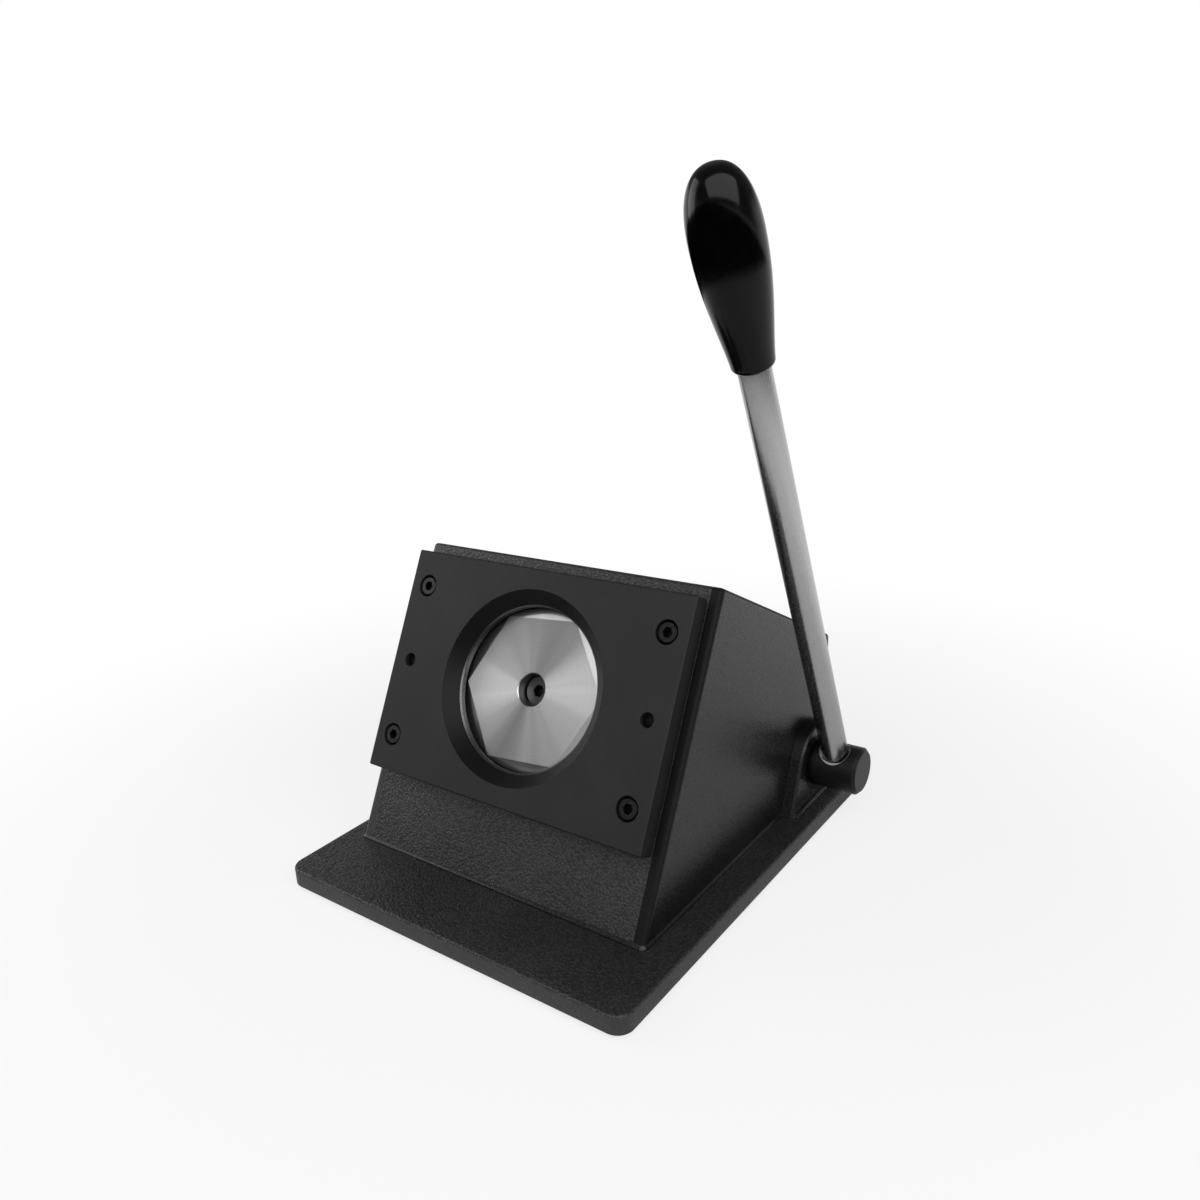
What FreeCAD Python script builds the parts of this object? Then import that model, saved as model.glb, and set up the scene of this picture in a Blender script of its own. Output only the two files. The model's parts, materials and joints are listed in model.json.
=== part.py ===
"""Desktop stand cutter of a button badge kit: a lever press that punches round paper discs.

Frame: X to the right, where the lever is, Y to the back and Z up. The origin is the middle of
the face that the cutter rests on. Sizes are in millimetres and angles in degrees.

The press is drawn in a tilted frame of its own: u across, v up the sloping front and n straight
out of it. Its origin is where the punch axis meets the housing front.
"""
import FreeCAD, Part
import math
import os
from collections import namedtuple

from FreeCAD import Placement, Rotation, Vector

# Base
BASE_THICKNESS = 8.3
BASE_LEFT_MARGIN = 9.45
BASE_RIGHT_MARGIN = 14.65
BASE_REAR_MARGIN = 15.2
BASE_CORNER_RADIUS = 7.0
BASE_EDGE_CHAMFER = 0.8
PAD_THICKNESS = 2.0
PAD_INSET = 6.0
PAD_CORNER_RADIUS = 4.0

# Housing, a box of flat plates with a front that leans back
HOUSING_WIDTH = 153.4
HOUSING_SETBACK = 35.8
FRONT_SLOPE = 63.0
FRONT_LENGTH = 140.0
SIDE_THICKNESS = 5.0
PANEL_THICKNESS = 4.0
HOUSING_EDGE_RADIUS = 2.0
COVER_CLEARANCE = 0.3
REAR_ROOM = 3.6

# Blocks and lugs inside the housing
ANCHOR_SIZE = 14.0
ANCHOR_ROOM = 1.5
LUG_WIDTH = 14.0
LUG_HEIGHT = 11.0
LUG_DEPTH = 7.5
LUG_SPACING = 90.0
LUG_TOP_ROOM = 4.0

# Main shaft and its bearings
SHAFT_DIAMETER = 22.0
SHAFT_BEHIND_FOOT = 143.4
SHAFT_ROOM_BELOW = 6.35
SHAFT_OVERHANG = 27.7
SHAFT_LEFT_OVERHANG = 2.0
SHAFT_CHAMFER = 1.6
PEDESTAL_THICKNESS = 6.0
PEDESTAL_WALL = 8.5
PEDESTAL_HALF_FOOT = 28.2
PEDESTAL_EDGE_CHAMFER = 0.8
PEDESTAL_WELD_LEG = 2.4
BUSH_WALL = 3.0
COLLAR_WIDTH = 10.0
COLLAR_FLOOR_GAP = 1.35
COLLAR_SIDE_GAP = 0.3
KEY_WIDTH = 6.0
KEY_DEPTH_IN_SHAFT = 3.5
KEY_DEPTH_IN_CAM = 2.5

# Lever
LEVER_FROM_SHAFT_END = 12.0
LEVER_LEAN = 24.4
LEVER_TRAVEL = 62.0
ROD_DIAMETER = 12.0
ROD_BELOW_AXIS = 7.0
ROD_IN_GRIP = 40.0
ROD_HOLE_CHAMFER = 0.9
GRIP_START = 210.2
GRIP_LENGTH = 69.8
GRIP_DIAMETER = 25.1
GRIP_NECK_DIAMETER = 15.7
GRIP_NECK_ROUND = 2.0
GRIP_DOME_LENGTH = 25.5
GRIP_DOME_POWER = 2.4
GRIP_SWELL_POWER = 1.2
GRIP_SWELL_POINTS = 7
GRIP_DOME_POINTS = 9

# Die plate and punch
CUT_DIAMETER = 70.0
CUT_CLEARANCE = 0.05
DIE_SIDE_MARGIN = 3.7
DIE_TOP_RIM = 15.0
DIE_THICKNESS = 8.0
DIE_BELOW_APEX = 5.8
DIE_EDGE_CHAMFER = 0.6
DIE_LAND = 2.3
DIE_CONE_RUN = 6.3
DIE_RING_WALL = 5.0
DIE_RING_LIP = 0.6
DIE_SCREW_INSET_U = 10.0
DIE_SCREW_INSET_V = 15.8
DIE_SCREW_BORE = 10.0
DIE_SCREW_SINK = 5.5
DOWEL_DIAMETER = 6.0
DOWEL_SINK = 2.5
PAPER_SLOT = 3.4
SPACER_DIAMETER = 12.0
PUNCH_PROUD = 2.3
PUNCH_FACET_DROP = 1.0
PUNCH_FACES = 6
PUNCH_FACE_TURN = 5.0
PUNCH_SCREW_BORE = 14.0
PUNCH_SCREW_SINK = 10.4
PUNCH_STOP_GAP = 0.3
PANEL_OPENING_GAP = 1.0
BACKING_THICKNESS = 12.0
BACKING_OPENING_GAP = 0.5
BACKING_SIDE_GAP = 1.7

# Ram and its guide
RAM_DIAMETER = 28.0
RAM_SPIGOT_DIAMETER = 20.0
RAM_SPIGOT_LENGTH = 3.5
RAM_SHOULDER_RISE = 8.0
RAM_SHOULDER_THICKNESS = 4.0
RAM_WEB = 1.0
RAM_TAIL_WALL = 4.1
RAM_HUB_GAP = 1.0
GUIDE_BUSH_WALL = 3.0
GUIDE_TUBE_WALL = 5.0
GUIDE_FLANGE_THICKNESS = 8.0
GUIDE_FLANGE_INSET = 1.0
GUIDE_LENGTH = 29.0
GUIDE_SCREW_RING = 8.0
GUIDE_KEY_FROM_END = 11.0
GUIDE_KEY_DIAMETER = 4.4
GUIDE_KEY_DEPTH = 2.6
GUIDE_KEY_GAP = 0.3

# Cam, roller and return spring
STROKE = 8.0
CAM_WIDTH = 8.0
CAM_HUB_LENGTH = 12.0
CAM_HUB_WALL = 5.0
CAM_BASE_WALL = 4.5
CAM_REST_RISE = 1.5
CAM_RUN_OUT = 5.0
CAM_NOSE_RADIUS = 3.0
CAM_POINTS = 13
ROLLER_DIAMETER = 18.0
ROLLER_WIDTH = 10.0
ROLLER_SIDE_GAP = 0.2
ROLLER_TOP_GAP = 0.6
ROLLER_CHAMFER = 0.5
ROLLER_PIN_DIAMETER = 8.0
ROLLER_PIN_OVERHANG = 4.0
CLIP_THICKNESS = 0.9
CLIP_WALL = 3.0
CLIP_GROOVE_DEPTH = 1.0
SPRING_WIRE = 2.5
SPRING_GAP_TO_RAM = 2.75
SPRING_END_GAP = 0.5
SPRING_ACTIVE_TURNS = 5
SPRING_SEAT_GAP = 0.1
SPRING_TANGENT_STEP = 0.05

# Fits, as gaps on the radius
PRESS_GAP = 0.02
RUNNING_GAP = 0.04
CAM_GAP = 0.05
THREAD_GAP = 0.05
BOLT_GAP = 0.25

Screw = namedtuple("Screw", "shank head head_height socket")
M4 = Screw(4.0, 7.6, 2.4, 2.5)
M5 = Screw(5.0, 8.5, 5.0, 4.0)
M8 = Screw(8.0, 13.0, 5.0, 5.0)
SET_SCREW_SOCKET = 2.5
SUNK_SOCKET_SHARE = 0.75
HEAD_CHAMFER_SHARE = 0.08
SOCKET_FLOOR_SHARE = 0.45
SUNK_SOCKET_DEPTH_SHARE = 0.7
SET_SOCKET_DEPTH_SHARE = 0.5
SCREW_END_ROOM = 2.0
SCREW_GRIP = 7.0

# Places that follow from the sizes above
BASE_TOP = PAD_THICKNESS + BASE_THICKNESS
SHAFT_RADIUS = SHAFT_DIAMETER / 2
COLLAR_RADIUS = SHAFT_RADIUS + SHAFT_ROOM_BELOW - COLLAR_FLOOR_GAP
HOUSING_DEPTH = SHAFT_BEHIND_FOOT + COLLAR_RADIUS + REAR_ROOM + PANEL_THICKNESS
BASE_WIDTH = HOUSING_WIDTH + BASE_LEFT_MARGIN + BASE_RIGHT_MARGIN
BASE_DEPTH = HOUSING_SETBACK + HOUSING_DEPTH + BASE_REAR_MARGIN
HOUSING_LEFT = BASE_LEFT_MARGIN - BASE_WIDTH / 2
HOUSING_RIGHT = HOUSING_LEFT + HOUSING_WIDTH
INNER_LEFT = HOUSING_LEFT + SIDE_THICKNESS
INNER_RIGHT = HOUSING_RIGHT - SIDE_THICKNESS
FOOT_Y = HOUSING_SETBACK - BASE_DEPTH / 2
REAR_Y = FOOT_Y + HOUSING_DEPTH
REAR_INNER_Y = REAR_Y - PANEL_THICKNESS
SHAFT_Y = FOOT_Y + SHAFT_BEHIND_FOOT
SHAFT_Z = BASE_TOP + SHAFT_ROOM_BELOW + SHAFT_RADIUS
SHAFT_END = HOUSING_RIGHT + SHAFT_OVERHANG
SHAFT_LEFT_END = HOUSING_LEFT - PEDESTAL_THICKNESS - SHAFT_LEFT_OVERHANG
LEVER_X = SHAFT_END - LEVER_FROM_SHAFT_END
FAR = 2 * (BASE_WIDTH + BASE_DEPTH)
SAME_PLACE = 1e-4

# The tilted frame of the press
DIE_HEIGHT = CUT_DIAMETER + 2 * DIE_TOP_RIM
DIE_WIDTH = HOUSING_WIDTH - 2 * DIE_SIDE_MARGIN
APEX_V = DIE_BELOW_APEX + DIE_HEIGHT / 2
PRESS_X = (HOUSING_LEFT + HOUSING_RIGHT) / 2
UP_SLOPE = Vector(0, math.cos(math.radians(FRONT_SLOPE)), math.sin(math.radians(FRONT_SLOPE)))
FOOT = Vector(PRESS_X, FOOT_Y, BASE_TOP)
PRESS = Placement(FOOT + UP_SLOPE * (FRONT_LENGTH - APEX_V), Rotation(Vector(1, 0, 0), FRONT_SLOPE))
SHAFT_IN_PRESS = PRESS.inverse().multVec(Vector(PRESS_X, SHAFT_Y, SHAFT_Z))
U_AXIS = Vector(1, 0, 0)
V_AXIS = Vector(0, 1, 0)
N_AXIS = Vector(0, 0, 1)

# Depths of the press pieces along n, from the front back
DIE_BACK = PAPER_SLOT
DIE_FACE = DIE_BACK + DIE_THICKNESS
BACKING_FRONT = -PANEL_THICKNESS
BACKING_BACK = BACKING_FRONT - BACKING_THICKNESS
PUNCH_BACK = BACKING_BACK + PUNCH_STOP_GAP
FLANGE_BACK = BACKING_BACK - GUIDE_FLANGE_THICKNESS
GUIDE_END = BACKING_BACK - GUIDE_LENGTH
GUIDE_KEY_N = GUIDE_END + GUIDE_KEY_FROM_END

# The cam lifts the roller by an even amount for each degree of the lever
ROLLER_RADIUS = ROLLER_DIAMETER / 2
CAM_BASE_RADIUS = SHAFT_RADIUS + CAM_BASE_WALL
CAM_HUB_RADIUS = SHAFT_RADIUS + CAM_HUB_WALL
CAM_LIFT = STROKE / math.radians(LEVER_TRAVEL)
FOLLOWER_OFFSET = -SHAFT_IN_PRESS.y
PITCH_AT_REST = CAM_BASE_RADIUS + CAM_REST_RISE + ROLLER_RADIUS
ROLLER_AT_REST = math.sqrt(PITCH_AT_REST ** 2 - FOLLOWER_OFFSET ** 2)
ROLLER_N = SHAFT_IN_PRESS.z + ROLLER_AT_REST
RAM_RADIUS = RAM_DIAMETER / 2
RAM_TAIL = ROLLER_N - ROLLER_PIN_DIAMETER / 2 - RAM_TAIL_WALL
FORK_TOP = ROLLER_N + ROLLER_RADIUS + ROLLER_TOP_GAP
SHOULDER_BACK = FORK_TOP + RAM_WEB
SHOULDER_FRONT = SHOULDER_BACK + RAM_SHOULDER_THICKNESS
SPRING_RADIUS = RAM_RADIUS + SPRING_GAP_TO_RAM + SPRING_WIRE / 2

DIE_SCREW_SPOTS = [
    (side * (DIE_WIDTH / 2 - DIE_SCREW_INSET_U), level * (DIE_HEIGHT / 2 - DIE_SCREW_INSET_V))
    for side in (-1, 1)
    for level in (-1, 1)
]
DOWEL_SPOTS = [(side * (DIE_WIDTH / 2 - DIE_SCREW_INSET_U), 0.0) for side in (-1, 1)]
GUIDE_SCREW_CIRCLE = CUT_DIAMETER / 2 + GUIDE_SCREW_RING
GUIDE_SCREW_SPOTS = [
    (side * GUIDE_SCREW_CIRCLE / math.sqrt(2), level * GUIDE_SCREW_CIRCLE / math.sqrt(2))
    for side in (-1, 1)
    for level in (-1, 1)
]


def block(x_range, y_range, z_range):
    """Box between two values on each axis."""
    corner = Vector(x_range[0], y_range[0], z_range[0])
    return Part.makeBox(
        x_range[1] - x_range[0], y_range[1] - y_range[0], z_range[1] - z_range[0], corner
    )


def bar(radius, start, end):
    """Round bar between two points."""
    return Part.makeCylinder(radius, (end - start).Length, start, end - start)


def cone(start_radius, end_radius, start, end):
    """Cone between two points."""
    return Part.makeCone(start_radius, end_radius, (end - start).Length, start, end - start)


def along_x(radius, x_range, y=SHAFT_Y, z=SHAFT_Z):
    """Round bar along X, on the shaft's line unless told otherwise."""
    return bar(radius, Vector(x_range[0], y, z), Vector(x_range[1], y, z))


def along_n(radius, n_range, spot=(0.0, 0.0)):
    """Round bar along the punch axis, in the press frame."""
    return bar(radius, Vector(spot[0], spot[1], n_range[0]), Vector(spot[0], spot[1], n_range[1]))


def prism(points, direction):
    """Solid between a flat polygon and its copy moved by a direction."""
    return Part.Face(Part.makePolygon(points + points[:1])).extrude(direction)


def cut_all(shape, tools):
    """Shape less each of the tools."""
    for tool in tools:
        shape = shape.cut(tool)
    return shape


def in_press(shape):
    """Shape moved from the press frame into the part's frame."""
    moved = shape.copy()
    moved.Placement = PRESS.multiply(moved.Placement)
    return moved


def stand(shape, seat, direction):
    """Shape drawn along +Z at the origin, moved to a seat and turned to a direction."""
    moved = shape.copy()
    moved.Placement = Placement(seat, Rotation(Vector(0, 0, 1), direction))
    return moved


def hexagon(across_flats, z_range):
    """Six-sided bar on the Z axis."""
    radius = across_flats / math.sqrt(3)
    corners = [
        Vector(radius * math.cos(turn), radius * math.sin(turn), z_range[0])
        for turn in (math.radians(60 * step) for step in range(6))
    ]
    return prism(corners, Vector(0, 0, z_range[1] - z_range[0]))


def outer_edges(shape, axis_value, axis):
    """Edges that lie whole in one plane across an axis."""
    return [
        edge
        for edge in shape.Edges
        if abs(getattr(edge.BoundBox, axis + "Min") - axis_value) < SAME_PLACE
        and abs(getattr(edge.BoundBox, axis + "Max") - axis_value) < SAME_PLACE
    ]


def cap_screw(screw, length):
    """Socket head screw with its seat at the origin and its head towards +Z."""
    head = bar(screw.head / 2, Vector(), Vector(0, 0, screw.head_height))
    rim = outer_edges(head, screw.head_height, "Z")
    head = head.makeChamfer(screw.head_height * HEAD_CHAMFER_SHARE, rim)
    socket = hexagon(screw.socket, (screw.head_height * SOCKET_FLOOR_SHARE, 2 * screw.head_height))
    shank = bar(screw.shank / 2, Vector(), Vector(0, 0, -length))
    return head.cut(socket).fuse(shank)


def sunk_screw(screw, length):
    """Countersunk screw with its flat head face at the origin, shank towards -Z."""
    depth = screw.shank / 2
    head = cone(screw.shank, screw.shank / 2, Vector(), Vector(0, 0, -depth))
    shank = bar(screw.shank / 2, Vector(0, 0, -depth), Vector(0, 0, -length))
    socket = hexagon(screw.socket * SUNK_SOCKET_SHARE, (-depth * SUNK_SOCKET_DEPTH_SHARE, depth))
    return head.fuse(shank).cut(socket)


def set_screw(screw, length):
    """Headless screw from the origin down, with a socket in its top."""
    body = bar(screw.shank / 2, Vector(0, 0, -length), Vector())
    return body.cut(hexagon(SET_SCREW_SOCKET, (-length * SET_SOCKET_DEPTH_SHARE, length)))


def rounded_plate(width, depth, radius, z_range):
    """Flat plate on the Z axis with four round corners."""
    plate = block((-width / 2, width / 2), (-depth / 2, depth / 2), z_range)
    corners = [edge for edge in plate.Edges if edge.BoundBox.ZLength > z_range[1] - z_range[0] - SAME_PLACE]
    return plate.makeFillet(radius, corners)


def anchor_places():
    """Near corners of the four blocks that tie the housing to the base.

    The front pair stands behind the lowest edge of the backing plate.
    """
    front_y = PRESS.multVec(Vector(0, -DIE_HEIGHT / 2, BACKING_BACK)).y + ANCHOR_ROOM
    rear_y = SHAFT_Y - COLLAR_RADIUS - 2 * ANCHOR_SIZE
    return [(x, y) for x in (INNER_LEFT, INNER_RIGHT - ANCHOR_SIZE) for y in (front_y, rear_y)]


def lug_places():
    """Low and high corners of the four lugs behind the rear cover, as (x, z)."""
    rear_slope = math.tan(math.radians(90 - FRONT_SLOPE))
    apex = FOOT + UP_SLOPE * FRONT_LENGTH
    rear_top = apex.z - (REAR_INNER_Y - LUG_DEPTH - apex.y) * rear_slope
    roof = PANEL_THICKNESS / math.sin(math.radians(FRONT_SLOPE)) + LUG_DEPTH * rear_slope
    high_z = rear_top - roof - LUG_TOP_ROOM - LUG_HEIGHT
    low = [(PRESS_X + side * LUG_SPACING / 2 - LUG_WIDTH / 2, BASE_TOP) for side in (-1, 1)]
    high = [(INNER_LEFT, high_z), (INNER_RIGHT - LUG_WIDTH, high_z)]
    return low + high


def base_pieces():
    """Base plate, rubber pad and the screws that hold the housing down."""
    plate = rounded_plate(BASE_WIDTH, BASE_DEPTH, BASE_CORNER_RADIUS, (PAD_THICKNESS, BASE_TOP))
    plate = plate.makeChamfer(BASE_EDGE_CHAMFER, outer_edges(plate, BASE_TOP, "Z"))
    pad = rounded_plate(
        BASE_WIDTH - 2 * PAD_INSET,
        BASE_DEPTH - 2 * PAD_INSET,
        PAD_CORNER_RADIUS,
        (0.0, PAD_THICKNESS),
    )
    blocks = []
    screws = []
    for x, y in anchor_places():
        seat = Vector(x + ANCHOR_SIZE / 2, y + ANCHOR_SIZE / 2, PAD_THICKNESS)
        top = seat + Vector(0, 0, BASE_THICKNESS)
        head = cone(M5.shank + BOLT_GAP, M5.shank / 2 + BOLT_GAP, seat, seat + Vector(0, 0, M5.shank / 2))
        plate = plate.cut(head).cut(bar(M5.shank / 2 + BOLT_GAP, seat, top))
        tied = block((x, x + ANCHOR_SIZE), (y, y + ANCHOR_SIZE), (BASE_TOP, BASE_TOP + ANCHOR_SIZE))
        blocks.append(tied.cut(bar(M5.shank / 2 + THREAD_GAP, top, top + Vector(0, 0, ANCHOR_SIZE))))
        screws.append(stand(sunk_screw(M5, BASE_THICKNESS + SCREW_GRIP), seat, Vector(0, 0, -1)))
    return {
        "base_plate": plate,
        "base_pad": pad,
        "anchor_blocks": Part.makeCompound(blocks),
        "housing_screws": Part.makeCompound(screws),
    }


def housing_block():
    """The housing's outer form as one solid, with its long edges rounded."""
    apex = FOOT + UP_SLOPE * FRONT_LENGTH
    top_run = Vector(0, UP_SLOPE.z, -UP_SLOPE.y)
    rear_top = apex + top_run * ((REAR_Y - apex.y) / top_run.y)
    outline = [FOOT, apex, rear_top, Vector(PRESS_X, REAR_Y, BASE_TOP)]
    shift = Vector(HOUSING_LEFT - PRESS_X, 0, 0)
    solid = prism([point + shift for point in outline], Vector(HOUSING_WIDTH, 0, 0))
    long_edges = [edge for edge in solid.Edges if edge.BoundBox.ZMax > BASE_TOP + SAME_PLACE]
    return solid.makeFillet(HOUSING_EDGE_RADIUS, long_edges)


def housing_pieces():
    """Side plates, front and top panels, rear cover, its lugs and its screws."""
    whole = housing_block()
    bush_hole = along_x(SHAFT_RADIUS + BUSH_WALL + PRESS_GAP, (-FAR, FAR))
    middle = block((INNER_LEFT, INNER_RIGHT), (-FAR, FAR), (-FAR, FAR))
    left = whole.common(block((-FAR, INNER_LEFT), (-FAR, FAR), (-FAR, FAR))).cut(bush_hole)
    right = whole.common(block((INNER_RIGHT, FAR), (-FAR, FAR), (-FAR, FAR))).cut(bush_hole)
    between = whole.common(middle)

    front_slab = in_press(block((-FAR, FAR), (-FAR, FAR), (-PANEL_THICKNESS, FAR)))
    top_slab = in_press(block((-FAR, FAR), (APEX_V - PANEL_THICKNESS, FAR), (-FAR, -PANEL_THICKNESS)))
    front_tools = [along_n(CUT_DIAMETER / 2 + PANEL_OPENING_GAP, (-FAR, FAR))]
    front_tools += [along_n(M5.shank / 2 + BOLT_GAP, (-FAR, FAR), spot) for spot in DIE_SCREW_SPOTS]
    front_tools += [along_n(DOWEL_DIAMETER / 2 + PRESS_GAP, (-FAR, FAR), spot) for spot in DOWEL_SPOTS]
    front = cut_all(between.common(front_slab), [in_press(tool) for tool in front_tools])
    top = between.common(top_slab)

    roof_gap = APEX_V - PANEL_THICKNESS - COVER_CLEARANCE
    cover_room = block(
        (INNER_LEFT + COVER_CLEARANCE, INNER_RIGHT - COVER_CLEARANCE),
        (REAR_INNER_Y, FAR),
        (BASE_TOP + COVER_CLEARANCE, FAR),
    )
    cover = whole.common(cover_room).cut(in_press(block((-FAR, FAR), (roof_gap, FAR), (-FAR, FAR))))
    lugs = []
    screws = []
    for x, z in lug_places():
        lug = block((x, x + LUG_WIDTH), (REAR_INNER_Y - LUG_DEPTH, REAR_INNER_Y), (z, z + LUG_HEIGHT))
        seat = Vector(x + LUG_WIDTH / 2, REAR_Y, z + LUG_HEIGHT / 2)
        into = Vector(0, -PANEL_THICKNESS - LUG_DEPTH, 0)
        lugs.append(lug.cut(bar(M4.shank / 2 + THREAD_GAP, seat, seat + into)))
        cover = cover.cut(bar(M4.shank / 2 + BOLT_GAP, seat, seat + into))
        screws.append(stand(cap_screw(M4, PANEL_THICKNESS + LUG_DEPTH - SCREW_END_ROOM), seat, V_AXIS))
    return {
        "left_side_plate": left,
        "right_side_plate": right,
        "front_panel": front,
        "top_panel": top,
        "rear_cover": cover,
        "cover_lugs": Part.makeCompound(lugs),
        "rear_cover_screws": Part.makeCompound(screws),
    }


def pedestal(inner_x, outward):
    """Arched bearing plate against a housing side, with a weld along its foot.

    The arch is round about the shaft, and straight flanks run from it to the foot.
    """
    radius = SHAFT_RADIUS + PEDESTAL_WALL
    drop = SHAFT_Z - BASE_TOP
    reach = math.hypot(PEDESTAL_HALF_FOOT, drop)
    turn = math.atan2(drop, PEDESTAL_HALF_FOOT) + math.asin(radius / reach)
    touch = Vector(0, radius * math.sin(turn), radius * math.cos(turn))
    centre = Vector(inner_x, SHAFT_Y, SHAFT_Z)
    mirrored = Vector(0, -touch.y, touch.z)
    foot = Vector(0, PEDESTAL_HALF_FOOT, -drop)
    far_foot = Vector(0, -PEDESTAL_HALF_FOOT, -drop)
    outline = Part.Wire([
        Part.LineSegment(centre + foot, centre + touch).toShape(),
        Part.Arc(centre + touch, centre + Vector(0, 0, radius), centre + mirrored).toShape(),
        Part.LineSegment(centre + mirrored, centre + far_foot).toShape(),
        Part.LineSegment(centre + far_foot, centre + foot).toShape(),
    ])
    plate = Part.Face(outline).extrude(Vector(outward * PEDESTAL_THICKNESS, 0, 0))
    outer_x = inner_x + outward * PEDESTAL_THICKNESS
    rim = [edge for edge in outer_edges(plate, outer_x, "X") if edge.BoundBox.ZMax > BASE_TOP + SAME_PLACE]
    plate = plate.makeChamfer(PEDESTAL_EDGE_CHAMFER, rim)
    weld_start = centre + far_foot + Vector(outward * PEDESTAL_THICKNESS, PEDESTAL_EDGE_CHAMFER * 2, 0)
    weld = prism(
        [
            weld_start,
            weld_start + Vector(outward * PEDESTAL_WELD_LEG, 0, 0),
            weld_start + Vector(0, 0, PEDESTAL_WELD_LEG),
        ],
        Vector(0, 2 * PEDESTAL_HALF_FOOT - PEDESTAL_EDGE_CHAMFER * 4, 0),
    )
    return plate.fuse(weld).cut(along_x(SHAFT_RADIUS + BUSH_WALL + PRESS_GAP, (-FAR, FAR)))


def shaft_bush(x_range):
    """Plain bearing of the shaft, through a side plate and its pedestal."""
    outside = along_x(SHAFT_RADIUS + BUSH_WALL, x_range)
    return outside.cut(along_x(SHAFT_RADIUS + RUNNING_GAP, x_range))


def key_block(x_range, gap):
    """Square key on the rear of the shaft, or its slot with a gap."""
    low_y = SHAFT_Y + SHAFT_RADIUS - KEY_DEPTH_IN_SHAFT
    high_y = SHAFT_Y + SHAFT_RADIUS + KEY_DEPTH_IN_CAM
    half = KEY_WIDTH / 2 + gap
    return block(x_range, (low_y - gap, high_y + gap), (SHAFT_Z - half, SHAFT_Z + half))


def cam_outline():
    """Closed outline of the cam about the shaft, in the press frame.

    The roller's middle stands at R(-turn)(offset, rest + lift * turn) as the cam sees it. The
    working edge lies one roller radius inside that curve, along its normal. Two straight flanks
    and the base circle close the outline.
    """
    inset = ROLLER_RADIUS + CAM_GAP
    first = math.radians(-CAM_RUN_OUT)
    last = math.radians(LEVER_TRAVEL + CAM_RUN_OUT)
    edge_points = []
    for step in range(CAM_POINTS):
        turn = first + (last - first) * step / (CAM_POINTS - 1)
        height = ROLLER_AT_REST + CAM_LIFT * turn
        slant = CAM_LIFT - FOLLOWER_OFFSET
        length = math.hypot(slant, height)
        across = FOLLOWER_OFFSET + inset * slant / length
        along = height - inset * height / length
        edge_points.append(Vector(
            -CAM_WIDTH / 2,
            SHAFT_IN_PRESS.y + across * math.cos(turn) + along * math.sin(turn),
            SHAFT_IN_PRESS.z - across * math.sin(turn) + along * math.cos(turn),
        ))

    def on_base_circle(angle):
        return Vector(
            -CAM_WIDTH / 2,
            SHAFT_IN_PRESS.y + CAM_BASE_RADIUS * math.cos(angle),
            SHAFT_IN_PRESS.z + CAM_BASE_RADIUS * math.sin(angle),
        )

    def touch_angle(point, side):
        across = point.y - SHAFT_IN_PRESS.y
        along = point.z - SHAFT_IN_PRESS.z
        return math.atan2(along, across) + side * math.acos(CAM_BASE_RADIUS / math.hypot(across, along))

    start_angle = touch_angle(edge_points[0], 1) - 2 * math.pi
    end_angle = touch_angle(edge_points[-1], -1)
    working_edge = Part.BSplineCurve()
    working_edge.interpolate(edge_points)
    back = Part.Arc(
        on_base_circle(end_angle),
        on_base_circle((start_angle + end_angle) / 2),
        on_base_circle(start_angle),
    )
    outline = Part.Wire([
        working_edge.toShape(),
        Part.LineSegment(edge_points[-1], on_base_circle(end_angle)).toShape(),
        back.toShape(),
        Part.LineSegment(on_base_circle(start_angle), edge_points[0]).toShape(),
    ])
    return outline, edge_points[-1]


def cam_piece(x_range):
    """Cam with its hub, bored and slotted for the shaft and key."""
    outline, nose = cam_outline()
    disc = Part.Face(outline).extrude(U_AXIS * CAM_WIDTH)
    nose_edges = [
        edge
        for edge in disc.Edges
        if edge.BoundBox.XLength > CAM_WIDTH - SAME_PLACE
        and abs(edge.CenterOfMass.y - nose.y) < SAME_PLACE
        and abs(edge.CenterOfMass.z - nose.z) < SAME_PLACE
    ]
    disc = in_press(disc.makeFillet(CAM_NOSE_RADIUS, nose_edges))
    hub = along_x(CAM_HUB_RADIUS, (x_range[0], PRESS_X))
    whole = disc.fuse(hub).cut(along_x(SHAFT_RADIUS + PRESS_GAP, (-FAR, FAR)))
    return whole.cut(key_block((-FAR, FAR), PRESS_GAP))


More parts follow.
